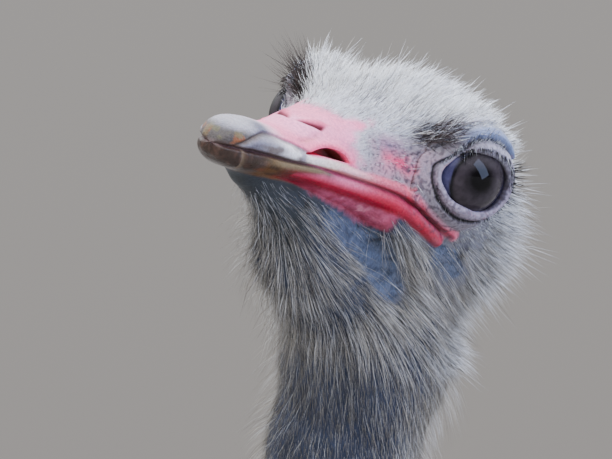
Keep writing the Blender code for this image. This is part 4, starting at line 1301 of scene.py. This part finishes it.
leg_finish, nodes, links, shader, place = marked_finish("leg skin and scales", 300, 4, 0.75, 1.2)
gloss = with_gloss(nodes, links, shader)
scales = set_up(nodes.new("ShaderNodeTexVoronoi"), Scale=210)
scales.feature = "DISTANCE_TO_EDGE"
links.new(place.outputs["Object"], scales.inputs["Vector"])
groove = set_up(nodes.new("ShaderNodeMapRange"), From_Max=0.12)
links.new(scales.outputs["Distance"], groove.inputs["Value"])
rough = set_up(nodes.new("ShaderNodeMapRange"), From_Min=0.42, From_Max=0.60, To_Max=0.8)
links.new(gloss.outputs["Fac"], rough.inputs["Value"])
relief = set_up(nodes.new("ShaderNodeBump"), Distance=0.0009)
links.new(rough.outputs["Result"], relief.inputs["Strength"])
links.new(groove.outputs["Result"], relief.inputs["Height"])
links.new(relief.outputs["Normal"], shader.inputs["Normal"])

claw_finish = marked_finish("claw horn", 180, 5, 0.6, 1.35, Roughness=0.42)[0]

for word, side, stride in (("left", 1, STRIDE / 2), ("right", -1, -STRIDE / 2)):
    stance = side * STANCE / 2
    foot = FOOT_SET - stride
    knee = -0.078 - 0.35 * stride
    hock = 0.147 - 0.55 * stride
    knots = ((0, side * 0.115, 0.02, 1.08, 0.085, 0.125),
             (0.12, side * 0.138, knee + 0.03, 0.96, 0.078, 0.118),
             (0.24, side * 0.140, knee + 0.075, 0.84, 0.067, 0.094),
             (0.36, side * 0.134, knee + 0.125, 0.72, 0.052, 0.066),
             (0.48, side * 0.124, hock - 0.028, 0.60, 0.034, 0.041),
             (0.56, side * 0.117, hock - 0.002, HOCK_HEIGHT + 0.03, 0.034, 0.041),
             (0.60, side * 0.116, hock, HOCK_HEIGHT, 0.036, 0.042),
             (0.66, side * 0.115, hock - 0.010, HOCK_HEIGHT - 0.06, 0.028, 0.033),
             (0.80, side * 0.110, 0.62 * hock + 0.38 * (foot + 0.02), 0.29, 0.0215, 0.027),
             (0.93, stance * 1.02, 0.15 * hock + 0.85 * (foot + 0.02), 0.115, 0.0235, 0.029),
             (0.975, stance, foot + 0.018, 0.052, 0.030, 0.034),
             (1, stance, foot + 0.018, 0.018, 0.018, 0.020))
    places = np.concatenate([np.linspace(0, 0.60, 170, endpoint=False), np.linspace(0.60, 1, 330)])
    line = np.stack([curve(places, [(k[0], k[j]) for k in knots]) for j in range(1, 6)], 1)
    line[:, 3:] -= 0.0012
    rings = bar_rings(line, sides=LEG_SIDES)
    flat_rings = rings.reshape(-1, 3)
    outward = unit((rings - line[:, None, :3]).reshape(-1, 3))
    facing = -outward[:, 1]
    down_leg = np.repeat(places, LEG_SIDES)
    drop = HOCK_HEIGHT - flat_rings[:, 2]
    scaled = step(down_leg, 0.60, 0.66)
    front = step(facing, 0.45, 0.60) * step(down_leg, 0.56, 0.60) * (1 - step(down_leg, 0.965, 0.985))
    wrinkle = noise(flat_rings / [0.030, 0.030, 0.010], 71)
    wrinkle = wrinkle + 0.6 * noise(flat_rings / [0.012, 0.012, 0.004], 72)
    cord = bump(facing, -0.75, 0.3) * between(down_leg, 0.30, 0.42, 0.56, 0.60)
    knob = bump(down_leg, 0.585, 0.022) * np.abs(outward[:, 0]) ** 2
    calf = between(down_leg, 0.10, 0.2, 0.30, 0.44) * bump(outward[:, 0] * side, 0.7, 0.5)
    thigh = between(down_leg, 0.06, 0.16, 0.26, 0.36) * bump(facing, 0.75, 0.35)
    flute = bump(np.abs(facing), 0.0, 0.35) * between(down_leg, 0.66, 0.72, 0.90, 0.95)
    rough = noise(np.column_stack([np.arctan2(outward[:, 0], outward[:, 1]) * 5, flat_rings[:, 2] / 0.006,
                                   np.zeros(len(drop))]), 74)
    lift = (0.0014 * wrinkle * (1 - scaled) + 0.0050 * cord + 0.0045 * knob + 0.007 * calf + 0.005 * thigh
            + 0.0019 * front * scute(drop, PLATE) + 0.0004 * rough * scaled * (1 - front) - 0.0020 * flute)
    leg_points = flat_rings + outward * lift[:, None]
    leg = solid("leg_" + word, leg_points, closed(rings))
    make_outward(leg)

    heel = foot + 0.048
    t, toe = along(130, (0, stance, heel, 0.020, 0.010, 0.012),
                   (0.1, stance, heel - 0.012, 0.024, 0.026, 0.025),
                   (0.35, stance, heel - 0.060, 0.024, 0.030, 0.029),
                   (0.62, stance - side * 0.002, heel - 0.118, 0.021, 0.027, 0.025),
                   (0.85, stance - side * 0.006, heel - 0.166, 0.019, 0.0265, 0.0225),
                   (1, stance - side * 0.009, heel - TOE_LENGTH - 0.041, 0.016, 0.014, 0.013))
    tip = toe[-1, :3] + np.array([0, 0.008, 0.004])
    out = np.array([side * np.sin(0.62), -np.cos(0.62), 0])
    start = np.array([stance + side * 0.010, foot + 0.010, 0])
    rows = [(u, *(start + out * (OUTER_TOE_LENGTH + 0.02) * u)[:2], z, wide, high) for u, z, wide, high in
            ((0, 0.022, 0.015, 0.018), (0.2, 0.022, 0.019, 0.022), (0.55, 0.018, 0.0175, 0.019),
             (0.85, 0.0165, 0.0165, 0.0175), (1, 0.0145, 0.008, 0.010))]
    u, small = along(76, *rows)
    small_tip = start + out * (OUTER_TOE_LENGTH + 0.014)
    cross = (-out[1], out[0], 0)
    for table, places, cut_across, aim in ((toe, t, (1, 0, 0), np.array([0, -1.0, 0])),
                                           (small, u, cross, out)):
        table = table.copy()
        table[:, 3:] -= 0.0008
        toe_rings = bar_rings(table, across=cut_across, sides=TOE_SIDES, ground=0, power=2.3)
        spots = toe_rings.reshape(-1, 3)
        outward = unit((toe_rings - table[:, None, :3]).reshape(-1, 3))
        run = (spots - table[0, :3]) @ aim
        upper = step(outward[:, 2], 0.35, 0.55)
        down_toe = np.repeat(places, TOE_SIDES)
        pads = bump(down_toe, 0.33, 0.05) + bump(down_toe, 0.66, 0.05)
        lift = 0.0017 * upper * scute(run, TOE_PLATE) - 0.0020 * pads * (1 - upper)
        lift = lift * step(spots[:, 2], 0.0005, 0.004)
        combine(leg, rough_shape("toe", spots + outward * lift[:, None], closed(toe_rings)), "UNION")
    leg.data.shade_smooth()
    spots = places_of(leg)
    centre_y = curve(-spots[:, 2], [(-1.1, 0.02), (-HOCK_HEIGHT, hock), (-0.06, foot + 0.02),
                                    (0, foot + 0.02)])
    wide = curve(-spots[:, 2], [(-1.1, 0.12), (-0.7, 0.07), (-HOCK_HEIGHT, 0.042), (-0.3, 0.027), (0, 0.03)])
    ahead = -(spots[:, 1] - centre_y) / wide
    tone = mix(LEG_SKIN, LEG_DARK, 0.4 + 0.18 * noise(spots / 0.03, 76) + 0.2 * noise(spots / 0.006, 78))
    tone = mix(tone, SCALE_GREY, 1 - step(spots[:, 2], 0.40, 0.50))
    is_toe = 1 - step(spots[:, 2], 0.045, 0.07)
    red = np.maximum(step(ahead, 0.25, 0.7) * (1 - step(spots[:, 2], 0.46, 0.54)) * (1 - is_toe),
                     is_toe * step(spots[:, 2], 0.026, 0.038) * 0.7)
    tone = mix(tone, SCALE_RED, red * (0.85 + 0.2 * noise(spots / 0.02, 77)))
    drop = HOCK_HEIGHT - spots[:, 2]
    f = drop / PLATE - np.floor(drop / PLATE)
    tone = mix(tone, paint(198, 140, 132), red * (1 - is_toe) * between(f, 0.3, 0.6, 0.86, 0.94) * 0.4)
    tone = mix(tone, paint(70, 44, 42), red * (1 - is_toe) * (1 - step(np.minimum(f, 1 - f), 0.02, 0.12))
               * 0.75)
    tone = mix(tone, SOLE, 1 - step(spots[:, 2], 0.004, 0.014))
    plated = np.maximum(step(ahead, 0.45, 0.7) * (1 - is_toe), is_toe * step(spots[:, 2], 0.030, 0.038))
    scaly = (1 - step(spots[:, 2], 0.44, 0.50)) * (1 - plated)
    mark(leg, tone, 0.42 + 0.05 * step(spots[:, 2], 0.44, 0.50) + 0.18 * scaly)
    leg.data.materials.append(leg_finish)
    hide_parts("thigh_" + word, "shank_" + word, "tarsus_" + word, "toe_big_" + word,
                "toe_outer_" + word)

    # the claws: a heavy blunt nail on the big toe and a small one on the outer
    nails = ((("claw_big_", tip, 0.012, np.array([-side * 0.08, -1.0, 0])),
              [(0, 0.0125, 0.0105, 0.021), (0.3, 0.0122, 0.0100, 0.0195), (0.6, 0.0104, 0.0082, 0.0158),
               (0.85, 0.0068, 0.0055, 0.0105), (1, 0.0026, 0.0026, 0.0065)], 0.059),
             (("claw_outer_", small_tip, 0.003, out),
              [(0, 0.0062, 0.0062, 0.0160), (0.5, 0.0048, 0.0048, 0.0126), (1, 0.0018, 0.0018, 0.0078)],
              0.024))
    for (stem, base, behind, aim), shape, length in nails:
        aim = aim / np.linalg.norm(aim)
        rows = [(u, *(base[:2] + aim[:2] * (length * u - behind)), z, wide, high)
                for u, wide, high, z in shape]
        table = along(40, *rows)[1]
        rings = bar_rings(table, across=(-aim[1], aim[0], 0), sides=40, ground=0.0004)
        spots = rings.reshape(-1, 3)
        outward = unit((rings - table[:, None, :3]).reshape(-1, 3))
        ridge = noise(np.column_stack([spots @ aim / 0.002, outward[:, 0] * 2, outward[:, 2] * 2]), 81)
        claw = solid(stem + word + "_horn", spots + outward * (0.0003 * ridge)[:, None], closed(rings))
        make_outward(claw)
        spots = places_of(claw)
        tone = mix(paint(86, 74, 66), paint(44, 38, 36), 0.5 + 0.5 * noise(spots / 0.006, 82))
        worn = step((spots - base) @ aim, length * 0.55, length - behind)
        tone = mix(tone, paint(150, 136, 118), worn * 0.6)
        mark(claw, tone, np.full(len(spots), 0.4))
        claw.data.materials.append(claw_finish)
        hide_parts(stem + word)

# ---- plumes ----
# An ostrich's plumes have a thin soft shaft and long loose barbs that do not hook together, so the coat is
# shaggy. They are black on the body, and the long ones of wings and tail are white.
DOWN = np.array([0, 0, -1.0])
WIDEST = 0.252
GIVE = 0.046


def held(p):
    """The bird's sides are held in by the folded wings, so that no plume stands far out."""
    wide = np.abs(p[:, 0])
    eased = WIDEST + GIVE * np.tanh((wide - WIDEST) / GIVE)
    p[:, 0] = np.where(wide > WIDEST, np.sign(p[:, 0]) * eased, p[:, 0])
    return p


def plumes(name, root, aim, face, length, width, sag, tones, patch, barbs, bent, rng):
    """Plumes from their roots: aim is the way a shaft starts, face the side its flat vane turns to."""
    count = len(root)
    knots, runs, run = [root], [aim], aim
    for k in range(4):
        run = unit(run + DOWN * (sag / 4)[:, None])
        runs.append(run)
        knots.append(held(knots[-1] + run * (length / 4)[:, None]))
    shaft = np.full(count, 0.0011) * (length / 0.16)
    tone = tones * 0.8
    hairs(name + "_shafts", knots[::2], [shaft, shaft * 0.7], [tone, tone, tone], patch, plume_finish)
    knots = np.array(knots)
    runs = np.array(runs)
    each = np.repeat(np.arange(count), 2 * barbs)
    t = np.tile(np.repeat((np.arange(barbs) + 0.5) / barbs, 2), count)
    t = np.clip(0.04 + 0.96 * t + rng.normal(size=len(t)) * 0.4 / barbs, 0.02, 1)
    hand = np.tile([1.0, -1.0], barbs * count)
    cell = np.minimum((t * 4).astype(int), 3)
    f = t * 4 - cell
    base = knots[cell, each] * (1 - f[:, None]) + knots[cell + 1, each] * f[:, None]
    way = runs[cell + 1, each]
    lateral = unit(np.cross(way, face[each]))
    open_out = np.radians(64 - 40 * t + 8 * rng.normal(size=len(t)))
    reach = width[each] * (0.45 + 0.55 * np.sin(np.pi * np.clip(0.12 + 0.8 * t, 0, 1)))
    reach = reach * rng.uniform(0.75, 1.2, len(t))
    aim_out = unit(way * np.cos(open_out)[:, None] + lateral * (hand * np.sin(open_out))[:, None]
                   + face[each] * (0.16 * rng.normal(size=len(t)) - 0.05)[:, None])
    shade = tones[each] * rng.uniform(0.75, 1.2, (len(t), 1))
    thick = np.full(len(t), 0.00075) * rng.uniform(0.8, 1.3, len(t)) * (width[each] / 0.05) ** 0.5
    if bent:
        half = base + aim_out * (reach * 0.5)[:, None]
        curl = unit(aim_out + way * 0.35 + DOWN * 0.35 + 0.15 * rng.normal(size=way.shape))
        spots = [base, held(half), held(half + curl * (reach * 0.55)[:, None])]
        widths, shades = [thick, thick * 0.75], [shade, shade, shade]
    else:
        curl = unit(aim_out + DOWN * 0.12)
        spots = [base, held(base + curl * reach[:, None])]
        widths, shades = [thick], [shade * 0.85, shade]
    hairs(name + "_barbs", spots, widths, shades, patch[each], plume_finish)


plume_finish = marked_finish("soft plume", 60, 4, 0.7, 1.25, Roughness=0.6, Specular_IOR_Level=0.3,
                             Sheen_Weight=0.15)[0]

PLUME_BLACK = paint(36, 33, 34)
PLUME_BROWN = paint(58, 48, 44)
PLUME_WHITE = paint(238, 234, 226)
PLUME_BUFF = paint(206, 186, 158)

rng = np.random.default_rng(31)
trunk_rings = lower_rings[36:]
for word, count, first, last in (("front", 1430, 0, 40), ("rear", 1600, 36, len(trunk_rings))):
    rings = trunk_rings[first:last]
    root, normal, patch = sow(rings, lambda q: 1 - step(q[:, 2], 1.44, 1.52), count, rng)
    q = root - bird
    top = step(normal[:, 2], 0.2, 0.8)
    belly = step(-normal[:, 2], 0.4, 0.9)
    breast = 1 - step(q[:, 1], -0.42, -0.22)
    lie = np.column_stack([0.25 * normal[:, 0], 0.8 - 0.4 * breast, -0.75 + 0.5 * top - 0.3 * breast])
    lie += 0.16 * rng.normal(size=lie.shape)
    flow = laid(lie, normal)
    stand = np.radians(16 + 6 * rng.normal(size=count))
    aim = raised(flow, normal, stand)
    high = step(q[:, 2], 1.28, 1.46) * breast
    length = (0.155 - 0.05 * breast - 0.055 * high - 0.05 * belly) * rng.uniform(0.8, 1.25, count)
    width = (0.040 - 0.012 * breast - 0.008 * high) * rng.uniform(0.8, 1.2, count)
    tones = mix(PLUME_BLACK, PLUME_BROWN, rng.random(count) * 0.6)
    sag = 0.35 * np.ones(count) * (1 - 0.6 * belly)
    plumes("body_plumes_" + word, root, aim, normal, length, width, sag, tones, patch,
           barbs=12, bent=False, rng=rng)

SHOULDER = [(-0.4, 0.11), (-0.28, 0.15), (-0.075, 0.19), (0.3, 0.17), (0.5, 0.15)]


def covert_cover(q, side):
    """How densely coverts grow on a wing: densest at the shoulder, thin on the inner side."""
    y = q[:, 1] - bird[1]
    outer = step(side * q[:, 0] - curve(y, SHOULDER), -0.03, 0)
    return 0.35 + outer * (1 + 1.2 * (1 - step(y, -0.3, -0.15)))


# the folded wings: a short arm, black coverts over it, and the long white plumes that hang behind
for word, side in BOTH:
    rng = np.random.default_rng(37)
    table = along(40, (0, side * 0.118, -0.345, 1.215, 0.030, 0.040),
                  (0.10, side * 0.172, -0.280, 1.220, 0.055, 0.110),
                  (0.4, side * 0.205, -0.075, 1.195, 0.072, 0.165),
                  (0.65, side * 0.205, 0.135, 1.145, 0.078, 0.205),
                  (0.85, side * 0.185, 0.335, 1.07, 0.072, 0.195),
                  (1, side * 0.165, 0.455, 0.99, 0.030, 0.085))[1]
    table[:, 1] += bird[1]
    arm_table = table.copy()
    arm_table[:, 3] = np.maximum(arm_table[:, 3] - 0.030, 0.010)
    arm_table[:, 4] = np.maximum(arm_table[:, 4] - 0.045, 0.014)
    rings = bar_rings(arm_table[:36], sides=48)
    if np.sum(grid_normals(rings)[20, :, 0] * (rings[20, :, 0] - arm_table[20, 0])) < 0:
        rings = rings[:, ::-1]
    arm = solid("wing_arm_" + word, rings.reshape(-1, 3), closed(rings))
    make_outward(arm)
    spots = places_of(arm)
    mark(arm, PLUME_BLACK * (1 + 0.3 * noise(spots / 0.02, 83))[:, None], np.full(len(spots), 0.7))
    arm.data.materials.append(plume_finish)
    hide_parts("wing_" + word)
    count = 1000
    root, normal, patch = sow(rings, lambda q: covert_cover(q, side), count, rng)
    lie = np.array([0.0, 1.0, -0.42]) + 0.14 * rng.normal(size=(count, 3))
    flow = laid(lie, normal)
    stand = np.radians(9 + 5 * rng.normal(size=count))
    aim = raised(flow, normal, stand)
    y = root[:, 1] - bird[1]
    arm_height = curve(y, list(zip(table[:, 1] - bird[1], table[:, 2])))
    low = 1 - step(root[:, 2] - arm_height, -0.12, -0.02)
    white = rng.random(count) < low * step(y, -0.1, 0.1) * 1.1 + 0.5 * step(y, 0.0, 0.3) * low
    tones = mix(PLUME_BLACK, PLUME_BROWN, rng.random(count) * 0.5)
    tones = np.where(white[:, None], PLUME_WHITE * rng.uniform(0.8, 1.0, (count, 1)), tones)
    length = rng.uniform(0.10, 0.15, count)
    width = rng.uniform(0.026, 0.036, count)
    plumes("wing_coverts_" + word, root, aim, normal, length, width, 0.3 * np.ones(count), tones, patch,
           barbs=12, bent=False, rng=rng)
    count = 90
    u = rng.random(count)
    k = (10 + 27 * u).astype(int)
    root = arm_table[k, :3] + np.column_stack([
        side * (0.3 * arm_table[k, 3] + 0.010 * rng.normal(size=count)),
        0.012 * rng.normal(size=count),
        -arm_table[k, 4] * rng.uniform(0.35, 0.95, count)])
    aim = unit(np.array([side * 0.12, 0.9, -0.45]) + 0.20 * rng.normal(size=(count, 3)))
    face = unit(np.array([side * 1.0, 0, 0.25]) + 0.25 * rng.normal(size=(count, 3)))
    length = rng.uniform(0.15, 0.21, count) * (1 - 0.25 * u)
    width = rng.uniform(0.042, 0.058, count)
    tones = PLUME_WHITE * rng.uniform(0.85, 1.0, (count, 1))
    patch = np.column_stack([0.05 + 0.9 * u, rng.uniform(0.05, 0.95, count)])
    plumes("wing_whites_" + word, root, aim, face, length, width, 1.1 * np.ones(count), tones, patch,
           barbs=34, bent=True, rng=rng)

# the tail: a drooping bunch of off-white plumes, stained with soil
rng = np.random.default_rng(41)
count = 190
u = rng.random(count)
droop = along(40, (0, 0, 0.42, 1.27, 0.080, 0.070), (0.35, 0, 0.560, 1.20, 0.125, 0.085),
              (0.7, 0, 0.650, 1.06, 0.135, 0.080), (0.92, 0, 0.687, 0.93, 0.095, 0.056),
              (1, 0, 0.692, 0.885, 0.030, 0.020))[1]
droop[:, 1] += bird[1]
stub_table = droop[:22].copy()
stub_table[:, 3:] *= 0.55
stub_table[-3:, 3:] *= np.array([0.85, 0.6, 0.3])[:, None]
rings = bar_rings(stub_table, sides=40)
stub = solid("tail_root", rings.reshape(-1, 3), closed(rings))
make_outward(stub)
spots = places_of(stub)
mark(stub, PLUME_BUFF * (0.55 + 0.1 * noise(spots / 0.02, 84))[:, None], np.full(len(spots), 0.7))
stub.data.materials.append(plume_finish)
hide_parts("tail")
k = (2 + 20 * u).astype(int)
turn = rng.uniform(0, 2 * np.pi, count)
run = unit(np.gradient(droop[:, :3], axis=0))[k]
square = unit(np.cross(run, np.array([1.0, 0, 0])))
offset = np.column_stack([np.cos(turn) * droop[k, 3] * 0.55, np.zeros(count), np.zeros(count)])
offset += square * (np.sin(turn) * droop[k, 4] * 0.5)[:, None]
root = droop[k, :3] + offset
outward = unit(offset)
aim = unit(run + 0.28 * outward + 0.10 * rng.normal(size=(count, 3)))
length = rng.uniform(0.15, 0.23, count)
width = rng.uniform(0.034, 0.050, count)
tones = mix(PLUME_WHITE, PLUME_BUFF, rng.random(count) * 0.9)
patch = np.column_stack([turn / (2 * np.pi), 0.1 + 0.8 * u])
plumes("tail_plumes", root, aim, outward, length, width, 0.55 * np.ones(count), tones, patch,
       barbs=26, bent=True, rng=rng)

# ---- camera and light ----
# The model stands on a pale floor under an even sky, with one broad soft light from the front. The camera is
# level with the head, and its long lens keeps to head and upper neck.
camera_data = bpy.data.cameras.new("camera")
camera = bpy.data.objects.new("camera", camera_data)
bpy.context.scene.collection.objects.link(camera)
bpy.context.scene.camera = camera
VIEW_TURN = np.radians(32.28)
VIEW_DISTANCE = 2.426
AIM_LEFT = 0.03792
AIM_BELOW = 0.03786
right = np.array([np.cos(VIEW_TURN), np.sin(VIEW_TURN), 0])
toward = np.array([np.sin(VIEW_TURN), -np.cos(VIEW_TURN), 0])
camera.location = Vector(head_at - AIM_LEFT * right + np.array([0, 0, -AIM_BELOW]) + VIEW_DISTANCE * toward)
camera.rotation_euler = (np.pi / 2, 0, VIEW_TURN)
camera_data.sensor_width = 36
camera_data.lens = 340.3
camera_data.clip_end = 200

world = bpy.data.worlds.new("studio")
bpy.context.scene.world = world
world.use_nodes = True
nodes, links = world.node_tree.nodes, world.node_tree.links
place = nodes.new("ShaderNodeTexCoord")
parts = nodes.new("ShaderNodeSeparateXYZ")
links.new(place.outputs["Generated"], parts.inputs[0])
dome = nodes.new("ShaderNodeValToRGB")
reach = set_up(nodes.new("ShaderNodeMapRange"), From_Min=-1, From_Max=1)
links.new(parts.outputs["Z"], reach.inputs["Value"])
links.new(reach.outputs["Result"], dome.inputs["Fac"])
dome.color_ramp.elements[0].position = 0.30
dome.color_ramp.elements[0].color = (0.16, 0.15, 0.14, 1)
dome.color_ramp.elements[1].position = 1.0
dome.color_ramp.elements[1].color = (3.9, 4.0, 4.2, 1)
for height, colour in ((0.47, (0.36, 0.34, 0.33, 1)), (0.55, (0.40, 0.385, 0.375, 1)),
                       (0.72, (1.95, 2.0, 2.1, 1))):
    dome.color_ramp.elements.new(height).color = colour
links.new(dome.outputs["Color"], nodes["Background"].inputs["Color"])
sun_data = bpy.data.lights.new("soft light", "SUN")
sun_data.energy = 1.5
sun_data.angle = np.radians(60)
sun = bpy.data.objects.new("soft light", sun_data)
sun.rotation_euler = (np.radians(35), np.radians(-15), np.radians(20))
bpy.context.scene.collection.objects.link(sun)

# a small softbox, set where its glint falls in the upper part of the left eye
glint = unit((eye_out + 0.33 * eye_up + 0.15 * eye_across)[None])[0]
on_eye = to_world(EYE_SPOT + DOME_SET * eye_out + DOME_RADIUS * glint)
glint = glint @ HEAD_AXES
sight = np.array(camera.location) - on_eye
sight /= np.linalg.norm(sight)
beam = 2 * (glint @ sight) * glint - sight
box_data = bpy.data.lights.new("softbox", "AREA")
box_data.shape = "RECTANGLE"
box_data.size = 0.9
box_data.size_y = 1.7
box_data.energy = 46
box_data.color = (0.50, 0.62, 1.0)
box = bpy.data.objects.new("softbox", box_data)
box.location = Vector(on_eye + 2.0 * beam)
box.rotation_euler = Vector(beam).to_track_quat("Z", "Y").to_euler()
box.rotation_euler.rotate_axis("Z", np.radians(28))
bpy.context.scene.collection.objects.link(box)

bpy.ops.mesh.primitive_plane_add(size=40, location=(0, 0, -0.001))
floor = bpy.context.object
floor.name = "floor"
floor_paint = bpy.data.materials.new("pale floor")
floor_paint.use_nodes = True
set_up(floor_paint.node_tree.nodes["Principled BSDF"], Base_Color=(0.28, 0.27, 0.26, 1), Roughness=0.9)
floor.data.materials.append(floor_paint)
